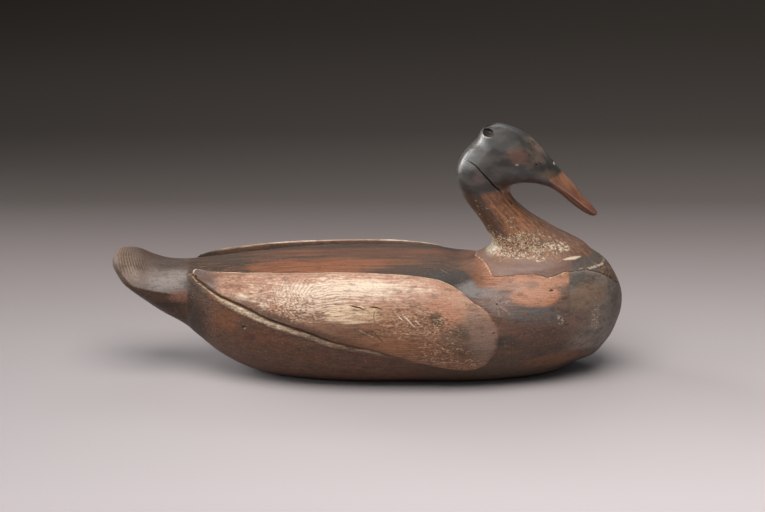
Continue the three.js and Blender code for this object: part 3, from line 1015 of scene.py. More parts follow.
# %% Nodes of a finish
class Nodes:
    """A material under way. Its places are in millimetres, in the frame of the decoy."""

    def __init__(self, name):
        self.material = bpy.data.materials.new(name)
        self.material.use_nodes = True
        self.tree = self.material.node_tree
        self.shader = self.tree.nodes["Principled BSDF"]
        metres = self.node("ShaderNodeTexCoord", {}, {}, "Object")
        self.place = self.vector("SCALE", metres, {"Scale": 1 / MM})
        self.x, self.y, self.z = self.parts(self.place)
        self.folded = self.join(self.x, 0 - self.size_of(self.y), self.z)

    def node(self, kind, settings, sockets, output=0):
        made = self.tree.nodes.new(kind)
        for name, setting in settings.items():
            setattr(made, name, setting)
        for name, value in sockets.items():
            if isinstance(value, Value):
                self.tree.links.new(value.socket, made.inputs[name])
            else:
                made.inputs[name].default_value = value
        return Value(self, made.outputs[output])

    def vector(self, operation, a, sockets, output=0):
        return self.node("ShaderNodeVectorMath", {"operation": operation}, {0: a, **sockets}, output)

    def join(self, a, b, c):
        return self.node("ShaderNodeCombineXYZ", {}, {0: a, 1: b, 2: c})

    def parts(self, vector):
        split = self.node("ShaderNodeSeparateXYZ", {}, {0: vector})
        return [Value(self, socket) for socket in split.socket.node.outputs]

    def mark(self, name):
        return self.node("ShaderNodeAttribute", {"attribute_name": name}, {}, "Fac")

    def wave(self, value):
        return self.node("ShaderNodeMath", {"operation": "SINE"}, {0: value})

    def size_of(self, value):
        return self.node("ShaderNodeMath", {"operation": "ABSOLUTE"}, {0: value})


print("a finish starts from one shader and the object's coordinates")

# %% [markdown]
# ### Masks
#
# Three masks make nearly every pattern here: a fade along a value, a band within two values,
# and an egg-shaped spot. A ragged noise added to what they measure breaks up their edges, as
# flaking does.


# %% Masks of a finish
class Masks(Nodes):
    """Shares from 0 to 1 of a paint, by place."""

    def fade(self, value, low, high, start=0.0, end=1.0):
        """start below low, end above high, and a smooth passage between."""
        return self.node(
            "ShaderNodeMapRange", {"interpolation_type": "SMOOTHSTEP"},
            {"Value": value, "From Min": low, "From Max": high, "To Min": start, "To Max": end},
        )

    def within(self, value, low, high, soft):
        """1 between low and high and 0 outside, with soft edges."""
        return self.fade(value, low - soft, low + soft) * self.fade(value, high + soft, high - soft)

    def speckle(self, sizes, seed, detail=3.0, rough=0.55, place=None):
        """Noise from 0 to 1 whose blots have these sizes along x, y and z, in millimetres."""
        shares = [1 / size for size in sizes]
        start = (seed, seed * 1.7, -seed)
        stretched = self.vector("MULTIPLY_ADD", place or self.place, {1: shares, 2: start})
        return self.node(
            "ShaderNodeTexNoise", {}, {"Vector": stretched, "Scale": 1, "Detail": detail, "Roughness": rough}
        )

    def spot(self, centre, radii, ragged, soft=0.12, place=None):
        """1 in an egg-shaped region and 0 outside it, with an edge that ragged breaks up."""
        offset = self.vector("SUBTRACT", place or self.folded, {1: centre})
        scaled = self.vector("DIVIDE", offset, {1: radii})
        distance = self.vector("LENGTH", scaled, {}, "Value")
        return self.fade(1 - distance + ragged, -soft, soft)


print("a mask is a fade, a band or a spot")

# %% [markdown]
# ### Coats
#
# A coat lays a paint on the surface through a mask, so a finish is built up in the order in
# which it was painted and worn. Several blots of one kind go on with a single call, each with
# its place, size, share and paint.


# %% Coats of a finish
class Finish(Masks):
    """Paint laid coat by coat, then a roughness and a relief."""

    def colour(self, share, under, over):
        """over laid on under, as thickly as share says."""
        paints = {0: share, 6: tone(under), 7: tone(over)}
        return self.node("ShaderNodeMix", {"data_type": "RGBA"}, paints, 2)

    def blots(self, colour, regions, ragged, soft=0.25, place=None):
        """Lays each region of (centre, radii, share, paint) on the colour in turn."""
        for centre, radii, share, paint in regions:
            colour = self.colour(self.spot(centre, radii, ragged, soft, place) * share, colour, paint)
        return colour

    def coat(self, share, paint):
        self.surface = self.colour(share, self.surface, paint)

    def coats(self, regions, ragged, soft=0.25, place=None):
        self.surface = self.blots(self.surface, regions, ragged, soft, place)

    def finish(self, roughness, relief, depth, shine):
        shader = self.shader
        shader.inputs["Specular IOR Level"].default_value = shine
        self.tree.links.new(self.surface.socket, shader.inputs["Base Color"])
        self.tree.links.new(roughness.socket, shader.inputs["Roughness"])
        bump = self.node("ShaderNodeBump", {}, {"Strength": 1.0, "Distance": depth * MM, "Height": relief})
        self.tree.links.new(bump.socket, shader.inputs["Normal"])
        print(self.material.name, "has", len(self.tree.nodes), "nodes")
        return self.material


print("a finish ends with a colour, a roughness and a relief")

# %% Woods and pigments
WARM_WOOD = (152, 104, 76)
DEEP_WOOD = (96, 66, 50)
DARK_EARTH = (72, 53, 42)
BLACK_GREEN = (45, 44, 41)
CREAM = (233, 212, 186)
TAN = (196, 158, 132)
FOOT_DARK = (44, 34, 28)
print("bare wood", WARM_WOOD, "cream", CREAM)

# %% [markdown]
# ## The body's worn paint
#
# The decoy was painted in dark and light areas, and use has rubbed most of it back to red
# brown wood. Paint is laid on in the order of wear: wood and its grain first, then what is
# left of the dark paint, then the cream of the wings, and dirt, painted shade and rubbed edges on top.
# Each layer's edge is broken by noise that is drawn out along the grain. The finish starts
# by naming these noises and the wing's marks, because every layer uses them.


# %% Noises of the body
f = Finish("worn_body_paint")
broad = f.speckle((60, 22, 22), 3.1)
blot = f.speckle((22, 9, 7), 11.3, 4)
patches = f.speckle((8, 4, 3.5), 51.1, 3)
streak = f.speckle((46, 2.6, 1.5), 7.7, 3)
fine = f.speckle((9, 1.0, 0.8), 21.9, 3)
fleck = f.speckle((3.2, 1.6, 1.4), 31.3, 2)
crumb = f.speckle((2.2, 1.3, 1.1), 71.9, 2)
ragged = (blot - 0.5) * 0.9 + (streak - 0.5) * 0.5 + (fine - 0.5) * 0.25
grain = f.fade(streak * 0.6 + fine * 0.4, 0.36, 0.64)
print("noises named")

# %% Where the wings, the back, the tail and the breast are
over_lower = f.mark("over_lower")
past_upper = f.mark("past_upper")
behind_front = f.mark("behind_front")
panel = f.join(f.x, past_upper, 0.0)
wing_span = f.fade(f.x, WING_TIP - 0.5, WING_TIP + 0.5)
front_soft = behind_front + (blot - 0.5) * 7 + (crumb - 0.5) * 4
on_wing = f.fade(over_lower, -0.5, 0.3) * f.fade(past_upper, 0.9, 0.2)
on_wing = on_wing * f.fade(front_soft, -2, 4.5) * wing_span
on_back = f.fade(past_upper, 0.4, 1.4) * f.fade(f.z, 60, 70)
on_tail = f.fade(f.x, -158, -162)
on_breast = f.fade(behind_front + ragged * 5, 1, -3) * f.fade(f.x, 50, 62)
print("regions named")

# %% [markdown]
# ### Wood, and the dark back between the wings
#
# The flanks are nearly bare: brown wood, darker where hands and water left dirt, redder in
# blots. Between the wings an old dark coat has worn through in long streaks, most of all on
# the middle of the near half, where orange wood shows.

# %% Bare flanks
f.surface = f.colour(grain, DEEP_WOOD, WARM_WOOD)
f.coat(f.fade(broad, 0.42, 0.66) * 0.5, DARK_EARTH)
low = f.fade(over_lower, 0, -5) * (1 - on_wing)
flank = f.colour(f.fade(fleck + fine, 0.8, 1.2), (66, 47, 35), (92, 66, 49))
f.coat(low * 0.7, flank)
f.coat(low * f.fade(blot + (broad - 0.5), 0.48, 0.66) * 0.4, (118, 68, 44))
f.coat(low * f.fade(patches + (blot - 0.5) * 0.8, 0.54, 0.68) * 0.5, (54, 44, 38))
f.coat(low * f.spot((-120, -50, 60), (16, 16, 9), ragged, 0.6) * 0.5, (124, 76, 46))
# darker round the flank pit, and painted shade inside it; a pale fleck lies just below
f.coat(f.spot(FLANK_PIT, (7.5, 9, 6.5), ragged * 0.3, 0.3) * 0.45, (70, 58, 48))
f.coat(f.spot(FLANK_PIT, (2.6, 5, 2.2), ragged * 0.3, 0.3) * 0.6, (40, 30, 24))
f.coat(f.spot((-107.6, -58, 54.6), (1.2, 3, 0.9), 0.0, 0.3) * 0.7, (170, 140, 116))
print("flanks laid")

# %% Orange wood in the worn back
long_streak = f.speckle((70, 1.7, 1.7), 91.3, 3)
back_base = f.colour(f.fade(streak + (broad - 0.5) * 0.6, 0.42, 0.6), (68, 49, 36), (94, 62, 42))
f.coat(on_back * 0.9, back_base)
back_wear = (long_streak - 0.5) * 2 + (broad - 0.5) * 1.2 + (fine - 0.5) * 0.6
f.coats([
    ((-40, -26, 102), (66, 16, 20), 0.8, (140, 80, 44)),
    ((10, 10, 104), (110, 14, 20), 0.5, (114, 67, 42)),
    ((-104, 6, 98), (22, 14, 10), 0.35, (116, 76, 56)),
], back_wear, 0.5, f.place)
print("orange wood laid")

# %% Dark paint that is left on the back
far_dark = on_back * f.fade(f.y, 2, 10) * f.fade(past_upper + ragged * 16, 32, 20)
near_dark = f.spot((40, -40, 101), (48, 11, 16), ragged * 0.9, 0.35, f.place) * on_back
front_dark = f.within(f.x + ragged * 20, 50, 84, 14) * on_back * f.fade(f.y, -12, -24)
rear_dark = f.fade(f.x + ragged * 50, -86, -125) * on_back
back_dark = far_dark * 0.8 | near_dark * 0.92 | front_dark * 0.7 | rear_dark * 0.8
back_coat = f.colour(grain, (50, 40, 31), (66, 50, 37))
f.coat(back_dark * f.fade(long_streak, 0.68, 0.5, 0.75), back_coat)
f.coat(on_back * f.fade(long_streak, 0.5, 0.4) * 0.45, (46, 34, 26))
f.coat(on_back * f.fade(long_streak, 0.58, 0.68) * 0.4, (138, 92, 60))
hair_line = f.spot((70, -40, 101), (7, 9, 2.5), ragged * 0.4, 0.3, f.place)
f.coat(hair_line * f.within(f.y + f.x * 0.9, 22.6, 23.4, 0.5) * 0.7, TAN)
print("back laid")

# %% [markdown]
# ### The breast
#
# Several dark coats are left on the breast, each worn away in its own place, and in the
# middle one blot goes down to bare pink wood. Its right end is cut off square, as if a tape
# had covered what lies beyond. The blots are eggs in space, so the same few numbers place
# them on both sides of the decoy.

# %% Breast, in what is left of several dark coats
breast_base = f.colour(f.fade(blot + fleck * 0.4, 0.55, 0.85), (84, 68, 59), (112, 88, 76))
f.coat(on_breast * 0.88, breast_base)
right = f.fade(f.x + ragged * 24, 162, 196)
right = right | f.fade(f.x + ragged * 3, 175.5, 178) * f.fade(f.z + ragged * 4, 78, 84)
olive = f.colour(f.fade(blot + fleck * 0.5, 0.55, 0.9), (106, 98, 90), (141, 127, 116))
f.coat(right * on_breast * 0.9, olive)
print("base of the breast laid")

# %% Breast: what is left of its dark coats, and a painted sheen
f.coats([
    ((80, -50, 94), (30, 20, 9), 0.9, (58, 53, 49)),
    # painted highlight: a blue-grey sheen in front of the wing
    ((98, -56, 90), (20, 16, 7), 0.8, (130, 123, 120)),
    ((114, -64, 81), (17, 15, 9), 0.7, (132, 108, 99)),
    ((146, -64, 68), (25, 15, 9), 0.85, (98, 95, 92)),
    ((117, -72, 46), (16, 14, 6), 0.85, (58, 56, 53)),
    ((134, -67, 60), (30, 14, 7), 0.5, (104, 74, 64)),
    ((188, -40, 93), (14, 20, 6), 0.8, (72, 68, 64)),
    ((194, -46, 80), (20, 20, 12), 0.7, (134, 110, 90)),
    ((186, -50, 60), (14, 14, 9), 0.5, (108, 80, 66)),
    ((150, -64, 48), (40, 20, 9), 0.55, (84, 62, 53)),
    ((140, -66, 34), (48, 20, 12), 0.7, (80, 62, 49)),
], ragged * 0.9, 0.3)
# painted shade: the breast is painted darker towards its tip
f.coat(f.fade(f.x + ragged * 8, 206, 226) * on_breast * 0.55, (54, 48, 43))
rusty = f.fade(patches + (fleck - 0.5) * 0.8 + (blot - 0.5) * 0.6, 0.58, 0.72)
f.coat(on_breast * rusty * 0.4, (132, 88, 64))
belly = f.fade(f.z + ragged * 10, 34, 20) * f.fade(f.x, 20, 60)
f.coat(belly * 0.75, (76, 59, 44))
f.coats([((168, -50, 24), (40, 22, 7), 0.6, (128, 82, 54))], ragged * 0.8)
print("breast coats laid")

# %% Pale flecks, and scratches round a dent
pale_flecks = f.spot((169, -58, 65), (4, 8, 6), ragged, 0.3)
pale_flecks = pale_flecks | f.spot((201, -42, 59), (4, 8, 14), ragged, 0.3)
f.coat(pale_flecks * f.fade(fleck + (fine - 0.5), 0.6, 0.68) * 0.85, (200, 184, 160))
DENT_RAYS = 8
ray_offset = f.vector("SUBTRACT", f.folded, {1: (112.6, -64.2, 79.2)})
ray_x, _, ray_z = f.parts(ray_offset)
ray_angle = f.node("ShaderNodeMath", {"operation": "ARCTAN2"}, {0: ray_z, 1: ray_x})
rays = f.fade(f.wave(ray_angle * DENT_RAYS + (fleck - 0.5) * 5), 0.6, 0.95)
ray_ring = f.spot((116, -64.2, 77), (11, 14, 7), ragged * 0.8, 0.4)
f.coat(rays * ray_ring * f.fade(f.x, 106, 114) * 0.28, (196, 172, 156))
print("flecks and scratches laid")

# %% [markdown]
# #### The bare blot
#
# It is three overlapping spots, cut off by two fades. Its wood is pinker on the right, where
# the grain shows, and darker on the left, where hands have dirtied it.

# %% Bare blot of the breast: its outline
patch = (
    f.spot((132, -44, 97), (58, 30, 9), ragged * 0.3, 0.2)
    | f.spot((147, -58, 86), (23, 14, 10.5), ragged * 0.35, 0.2)
    | f.spot((94, -26, 100), (15, 22, 9), ragged * 0.4, 0.2)
)
patch = patch * f.fade(f.x + ragged * 2.5, 177.5, 175.5)
patch = patch * f.fade(f.x - f.size_of(f.y) * 0.4 + ragged * 4, 70, 77)
print("outline of the blot laid")

# %% Bare blot of the breast: its wood
left_patch = f.fade(f.x + ragged * 14, 112, 90)
patch_noise = (blot - 0.5) + (patches - 0.5) * 1.6 + (fleck - 0.5) * 1.2
patch_grain = f.fade(grain * f.fade(f.x + ragged * 30, 150, 110) + patch_noise, 0, 0.8)
patch_paint = f.colour(patch_grain, (182, 130, 101), (148, 97, 70))
patch_paint = f.colour(left_patch * 0.9, patch_paint, (100, 66, 46))
patch_paint = f.blots(patch_paint, [
    ((143, -47, 92), (7, 9, 3), 0.5, (112, 90, 80)),
    ((122, -54, 90), (16, 12, 5), 0.5, (160, 128, 116)),
    ((164, -58, 76), (9, 9, 5), 0.5, (190, 122, 84)),
], ragged * 0.8, 0.4)
f.coat(patch * 0.93, patch_paint)
print("blot laid")


# %% Rubbed edges of the joint, with a painted glint
def over_seam(f):
    """How far a place is over the joint's line on the side of the breast."""
    return f.z - ((97.4 + f.size_of(f.x - 157) * 0.23) & 100.8)


seam_edge = f.within(over_seam(f), -1.7, 0.5, 0.5) * f.within(f.x, 152, 176, 4)
rear_edge = f.within(f.x - f.size_of(f.y) * 0.333, 95.6, 97.2, 0.4) * f.fade(f.z, 97, 99)
# pale rubbed wood along the joint's edges, painted also as a glint of light
edge_glint = seam_edge * f.fade(fleck, 0.5, 0.6) * 0.7 | rear_edge * f.fade(fleck, 0.4, 0.6) * 0.6
f.coat(edge_glint, (226, 196, 166))
print("joint edges laid")

# %% [markdown]
# ### The wings
#
# The wings were light. Their paint is worn to red brown wood at the edges and low down, and
# what is left is tan, with cream where it was thickest. The cream follows the grain: long
# streaks in the middle, and rings where the plane of the cut runs across a bulge of the
# wood. Positions on a wing are given by x and by the distance below its upper edge.

# %% Wing: red brown wood under tan
pale = f.spot((-26, -14, 0), (150, 36, 1), ragged * 0.5, 0.5, panel)
mottle = f.fade(blot * 0.4 + fleck * 0.4 + streak * 0.3 + patches * 0.2, 0.52, 0.8)
tanned = f.colour(mottle, (166, 119, 95), (200, 161, 137))
wing_wood = f.colour(f.fade(streak + fine, 0.75, 1.2), (112, 78, 57), (160, 115, 88))
wing_wood = f.colour(pale * 0.92, wing_wood, tanned)
wing_wood = f.blots(wing_wood, [
    ((62, -18, 0), (34, 18, 1), 0.7, (184, 138, 112)),
    ((30, -48, 0), (36, 16, 1), 0.5, (158, 112, 82)),
    ((60, -44, 0), (30, 20, 1), 0.5, (158, 118, 94)),
    ((82, -58, 0), (18, 16, 1), 0.7, (92, 74, 60)),
    ((66, -30, 0), (14, 12, 1), 0.5, (186, 124, 94)),
    ((100, -36, 0), (16, 30, 1), 0.85, (134, 110, 97)),
    ((20, -72, 0), (60, 10, 1), 0.5, (140, 90, 58)),
    ((-36, -56, 0), (46, 9, 1), 0.6, (100, 71, 52)),
    ((-60, -40, 0), (34, 8, 1), 0.45, (112, 80, 62)),
    ((-96, -19, 0), (12, 4, 1), 0.5, (124, 96, 80)),
    ((60, -38, 0), (6, 7, 1), 0.75, (66, 56, 46)),
    ((82, -44, 0), (7, 9, 1), 0.6, (84, 74, 62)),
    ((-150, -5, 0), (16, 9, 1), 0.95, (118, 101, 94)),
], ragged * 0.9, 0.4, panel)
f.coat(on_wing, wing_wood)
print("wing wood laid")

# %% Wing: cream streaks
cream_zones = [
    ((-20, -16, 0), (40, 7, 1), 0.34), ((-14, -17, 0), (76, 13, 1), 0.2), ((36, -7, 0), (38, 7, 1), 0.11),
    ((50, -18, 0), (34, 12, 1), 0.05), ((-100, -13, 0), (46, 10, 1), 0.16), ((-30, -34, 0), (30, 8, 1), 0.2),
    ((-60, -28, 0), (26, 8, 1), 0.18), ((-110, -15, 0), (6, 3, 1), 0.2), ((-92, -26, 0), (6, 3, 1), 0.2),
]
thick = 0.0
for centre, radii, amount in cream_zones:
    thick = f.spot(centre, radii, ragged * 0.6, 0.5, panel) * amount + thick
wear = streak * 0.6 + fine * 0.4 + patches * 0.45 + fleck * 0.25 + thick
cream_wash = f.fade(thick + (patches - 0.5) * 0.4, 0.1, 0.5) * 0.45
f.coat(on_wing * cream_wash, (218, 187, 166))
f.coat(on_wing * f.fade(wear, 1.02, 1.4) * 0.94, CREAM)
gap_zone = f.spot((-10, -18, 0), (110, 22, 1), ragged, 0.4, panel)
gaps = f.fade(long_streak + (fine - 0.5) * 0.5, 0.47, 0.38) * gap_zone
f.coat(on_wing * gaps * 0.55, (176, 128, 100))
print("cream laid")

# %% Wing: rings of the grain
RING_SPACING = 2.4
ring_left = (f.x + 44 + (blot - 0.5) * 14) & 0.0
ring_place = f.join(ring_left * 0.8, past_upper + 17 + (broad - 0.5) * 16 + (blot - 0.5) * 7, 0.0)
ring_reach = f.vector("LENGTH", ring_place, {}, "Value")
ring_wobble = (streak - 0.5) * 5 + (fleck - 0.5) * 3
rings = f.wave(ring_reach * (2 * math.pi / RING_SPACING) + ring_wobble) * 0.5 + 0.5
ringed = f.spot((-46, -25, 0), (42, 18, 1), ragged * 1.2, 0.5, panel) * f.fade(patches, 0.34, 0.5)
ring_lines = f.fade(rings + (fleck - 0.5), 0.55, 0.95) * ringed
f.coat(on_wing * ring_lines * 0.7, (232, 208, 188))
f.coat(on_wing * f.fade(rings, 0.4, 0.1) * ringed * 0.55, (150, 104, 80))
print("rings laid")

# %% Wing: flecks
dotted = (
    f.spot((44, -45, 0), (36, 19, 1), ragged * 0.6, 0.4, panel)
    | f.spot((66, -74, 0), (30, 19, 1), ragged, 0.4, panel)
    | f.spot((-70, -32, 0), (40, 12, 1), ragged, 0.4, panel)
)
f.coat(on_wing * dotted * f.fade(fleck + (crumb - 0.5) * 0.4, 0.49, 0.4) * 0.6, (84, 60, 44))
dots = f.fade(crumb + (patches - 0.5) * 0.7, 0.58, 0.66)
dots = dots | f.fade(fine + (fleck - 0.5) * 0.6, 0.62, 0.72) * 0.7
f.coat(on_wing * dots * dotted * 0.7, (208, 176, 144))
print("flecks laid")

# %% [markdown]
# #### The mend and the scratches
#
# A rectangle low on the wing was once mended: cracks mark its upper edge, and its filler is
# worn cream. Three short scratches beside it all run the same way. They are eggs in a turned
# plane, because an egg-shaped spot is easier to place than a line.

# %% Wing: scratches
TILT = -1.1
slant = f.join(f.x + past_upper * TILT, past_upper - f.x * TILT, 0.0)
wobble = (crumb - 0.5) * 1.6
scratches = (
    f.spot((71.7, -8.1, 0), (5.2, 0.8, 1), wobble, 0.3, slant)
    | f.spot((82, -2.3, 0), (11, 0.9, 1), wobble, 0.3, slant)
    | f.spot((89, 5.3, 0), (4.2, 0.7, 1), wobble, 0.3, slant)
)
f.coat(on_wing * scratches * 0.9, CREAM)
print("scratches laid")

# %% Wing: the mend
mend = f.spot((-14, -37, 0), (23, 9, 1), ragged * 0.25, 0.15, panel)
f.coat(on_wing * mend * mix(0.2, 0.85, f.fade(streak + (fine - 0.5) * 0.6, 0.4, 0.56)), (236, 208, 174))
f.coat(on_wing * mend * f.fade(fine, 0.46, 0.36) * 0.5, (120, 84, 58))
mend_end = f.within(f.x + (blot - 0.5) * 6 + (fleck - 0.5) * 2, 5.2, 7.4, 0.8)
mend_end = mend_end * f.within(past_upper, -44, -32, 2)
mend_rim = f.spot((5, -37, 0), (8, 8, 1), ragged * 0.6, 0.4, panel)
mend_rim = mend_rim * f.fade(fleck + (fine - 0.5), 0.44, 0.56)
f.coat(on_wing * (mend_end * 0.6 | mend_rim * 0.55), (212, 184, 146))
low_scratch = f.within(past_upper + f.x * 0.66 + (blot - 0.5) * 3, -57.6, -56.2, 0.5)
low_scratch = low_scratch * f.within(f.x, -10, 12, 3)
f.coat(on_wing * low_scratch * f.fade(fleck, 0.4, 0.6) * 0.7, TAN)
low_pits = f.spot((6, -54, 0), (8, 4, 1), ragged, 0.4, panel) * f.fade(crumb + (fleck - 0.5) * 0.5, 0.5, 0.4)
f.coat(on_wing * low_pits * 0.8, (66, 50, 34))
mend_low = f.within(past_upper + f.x * 0.04 + (blot - 0.5) * 6, -48, -46, 1) * f.within(f.x, -40, 5, 6)
f.coat(on_wing * mend_low * 0.4, DARK_EARTH)
print("mend laid")

# %% [markdown]
# ### Edges
#
# Hands rub an edge bare and then polish it. The lip under the groove and the wings' upper
# rims show a pale undercoat. The groove between them, the wing's lower edge just above it and
# the step inside the far wing are painted dark, as painted shade.

# %% Edges: the rubbed lip
rubbed = f.fade(streak * 0.4 + fleck * 0.4 + patches * 0.3, 0.4, 0.66)
lip_place = over_lower + (blot - 0.5) * 3 + (fleck - 0.5) * 1.5
lip_narrow = f.fade(f.x, -142, -108, 5, 0) + f.fade(f.x, -84, 10, 0, 4)
lip = f.fade(lip_place - lip_narrow, -11.6, -7) * f.fade(lip_place, -2.4, -4.4) * f.within(f.x, -140, 14, 12)
thin_lip = f.within(over_lower + (fleck - 0.5), -4.2, -2.4, 0.6) * f.within(f.x, -160, -120, 6)
lip_wear = f.within(f.x, -128, -62, 22) * 0.5 + 0.42
lip_blots = mix(0.35, 1, rubbed) * f.fade(patches + (crumb - 0.5) * 0.8, 0.34, 0.54, 0.3)
f.coat(wing_span * lip * lip_blots * lip_wear, (226, 202, 172))
f.coat(wing_span * thin_lip * mix(0.3, 1, rubbed) * 0.8, (206, 172, 130))
print("lip laid")

# %% Edges: painted shade in the groove
low_line = f.within(over_lower, -1.2, 0.8, 0.9) * f.within(f.x, -10, 96, 20) * on_wing
f.coat(low_line * rubbed * 0.5, TAN)
# painted shade in the groove under the wing
groove = f.within(over_lower, -2.4, -0.2, 0.9) * wing_span * f.fade(f.x, -10, -70)
f.coat(groove * 0.85, (52, 37, 27))
# painted shade where the wing's lower edge curves under towards the groove
groove_edge_shade = f.within(over_lower + (blot - 0.5) * 5, 0, 7, 3) * wing_span * f.within(f.x, -116, 6, 24)
f.coat(groove_edge_shade * 0.72, (88, 64, 49))
print("groove laid")

# %% Edges: the rims of both wings
near_side = f.fade(f.y, 2, -2)
under_rim = f.within(past_upper, -2.5, -1.4, 0.4) * wing_span * f.fade(f.x, -10, -50)
f.coat(under_rim * 0.6, (120, 80, 58))
far_bright = f.within(f.x, -88, -47, 5) | f.within(f.x, 14, 66, 8)
near_bright = f.fade(f.x, 20, -60) * 0.7 + 0.3 + f.within(f.x, 58, 98, 8) * 0.35
rim_share = near_side * near_bright * f.fade(f.x, -162, -140, 0.5, 1)
rim_share = rim_share + (1 - near_side) * mix(0.4, 1, far_bright)
rim_low = f.fade(f.x, -146, -112, -0.3, -1.2)
rim_high = f.fade(f.y, -2, 2, 0.1, -0.2)
rim_soft = f.fade(f.x, -146, -112, 0.1, 0.25)
rim = f.within(past_upper, rim_low, rim_high, rim_soft) * wing_span * f.fade(f.x, 104, 94)
rim_wear = mix(0.4, 1, f.fade(streak + (patches - 0.5), 0.35, 0.6))
f.coat(rim * rim_wear * rim_share * 0.9, CREAM)
far_top = f.fade(past_upper, -0.6, -1.3) * on_wing * (1 - near_side)
f.coat(far_top * 0.85, (92, 66, 50))
# painted shade at the foot of the step inside the wings
step_start = rim_high + f.fade(f.y, -2, 2, 0.4, 0.15)
step_dark = f.within(past_upper, step_start, 2.2, 0.2) * wing_span * f.fade(f.x, 84, 70)
f.coat(step_dark * 0.75, (58, 46, 38))
print("edges laid")

# %% [markdown]
# ### Tail and underside
#
# The tail's upper face shows worn end grain, in fine arcs, and a grey sheen near the waist that is
# painted highlight. Its underside is painted dark, as painted shade.

# %% Tail: arcs of worn end grain
TAIL_ARCS = SimpleNamespace(centre=(-160, -6, 0), spacing=2.3)
arc_place = f.vector("SUBTRACT", f.join(f.x, f.y, 0.0), {1: TAIL_ARCS.centre})
arc_reach = f.vector("LENGTH", arc_place, {}, "Value")
arcs = f.wave(arc_reach * (2 * math.pi / TAIL_ARCS.spacing) + blot * 2.4)
arc_zone = f.within(f.x + ragged * 12, -221, -196, 5) * f.fade(f.z, 92, 96)
arc_zone = arc_zone * f.fade(patches + (fleck - 0.5), 0.28, 0.5)
tail_paint_sheen_and_shade = f.colour(f.fade(blot + fleck * 0.3, 0.5, 0.8), (84, 66, 54), (106, 85, 70))
tail_paint_sheen_and_shade = f.colour(f.fade(arcs, 0.2, 0.9) * arc_zone * 0.75, tail_paint_sheen_and_shade, (52, 41, 33))
tail_paint_sheen_and_shade = f.colour(f.fade(arcs, -0.2, -0.9) * arc_zone * 0.5, tail_paint_sheen_and_shade, (138, 112, 94))
print("arcs laid")

# %% Tail: painted sheen, and painted shade on the underside
tail_paint_sheen_and_shade = f.blots(tail_paint_sheen_and_shade, [
    ((-190, 0, 102), (20, 14, 8), 0.85, (78, 44, 18)),
    ((-178, -6, 97), (20, 18, 8), 0.7, (60, 52, 46)),
    # painted highlight: the grey-blue sheen on the tail's upper face
    ((-181, -29, 86), (27, 13, 9), 0.95, (162, 152, 147)),
    ((-205, -31, 90), (10, 12, 8), 0.5, (134, 114, 100)),
], ragged * 0.8, 0.9)
# painted shade: below this line the tail's underside is painted dark
under_line = (f.x * -0.87 - 93.1) | (f.x * -0.316 + 21.6)
tail_under = f.fade(f.z - under_line + ragged * 1.5, 0.9, -0.9)
underside_painted_shade = f.colour(f.fade(blot, 0.4, 0.6), (56, 42, 33), (76, 54, 41))
tail_paint_sheen_and_shade = f.colour(tail_under, tail_paint_sheen_and_shade, underside_painted_shade)
tail_paint_sheen_and_shade = f.blots(tail_paint_sheen_and_shade, [((-166, -26, 74), (9, 10, 5), 0.75, (142, 98, 82))], ragged * 0.8, 0.6)
f.coat(on_tail * 0.96, tail_paint_sheen_and_shade)
print("tail laid")

# %% Waist and the decoy's foot, with painted shade
# painted shade: the waist is painted dark, darkest low down
waist = f.fade(f.x + ragged * 10, -136, -152) * (1 - on_tail) * f.fade(over_lower, -3, -6)
waist_painted_shade = f.colour(f.fade(f.z + ragged * 10, 62, 74), (36, 32, 30), (58, 44, 34))
f.coat(waist * 0.75, waist_painted_shade)
# painted sheen and shade: a grey strip at the crease where the tail's sheen ends
grey_strip = f.within(f.x, -163, -158, 1.5) * f.within(f.z, 78, 89, 3) * f.fade(f.y, -15, -19)
f.coat(grey_strip * 0.6, (92, 88, 84))
# darker towards the bottom, at the foot
f.coat(f.fade(f.z, 6, 1) * 0.6, FOOT_DARK)
print("waist laid")

# %% [markdown]
# ### The tooth of the surface
#
# Last come small things that go over everything: dark and pale specks about a millimetre
# across, and the relief and shine of the surface.

# %% Specks, relief and shine
tooth = f.speckle((1.6, 1.4, 1.4), 61.3, 2)
mid = f.speckle((10, 5, 4.5), 81.7, 4, 0.6)
f.coat(f.fade(mid, 0.52, 0.66) * 0.36, (60, 43, 32))
f.coat(f.fade(tooth, 0.5, 0.75) * 0.35, DARK_EARTH)
f.coat(f.fade(tooth, 0.42, 0.25) * 0.16, (214, 186, 158))
tip_dull = f.fade(f.x, -136, -146) * on_wing
tail_dull = f.fade(f.x, -212, -221)
roughness = 0.44 + (fine - 0.5) * 0.3 + (mid - 0.5) * 0.2 + groove * 0.2 - on_tail * 0.06
roughness = roughness + tip_dull * 0.3 + tail_dull * 0.3
relief = grain * 0.35 + rings * ringed * on_wing * 0.2 + fleck * 0.3 + fine * 0.4 + tooth * 0.25
body_piece.data.materials.clear()
body_piece.data.materials.append(f.finish(roughness, relief, 0.32, 0.35))

# %% [markdown]
# ## The head and neck
#
# The neck block keeps white flecks low on the neck and a plain band above the joint. The
# head was nearly black and handling has polished it, with brown wood showing through on the
# brow. The bill is red brown. The grain of this block runs along the neck, so its streaks
# are drawn in directions that are turned to the neck's lean.

# %% Noises of the neck block
f = Finish("worn_head_paint")
LEAN = SimpleNamespace(x=0.6, z=0.8)
along_neck = f.join(f.x * LEAN.x - f.z * LEAN.z, f.y, f.x * LEAN.z + f.z * LEAN.x)
blot = f.speckle((14, 8, 8), 13.7, 4)
streak = f.speckle((20, 3, 2.6), 5.3, 3, 0.55, along_neck)
fine = f.speckle((5, 1.2, 1.2), 17.1, 3, 0.55, along_neck)
fleck = f.speckle((3.0, 2.4, 2.0), 41.7, 3)
ragged = (blot - 0.5) * 0.9 + (streak - 0.5) * 0.4 + (fine - 0.5) * 0.25
grain = f.fade(streak * 0.6 + fine * 0.4, 0.36, 0.64)
print("noises of the neck named")
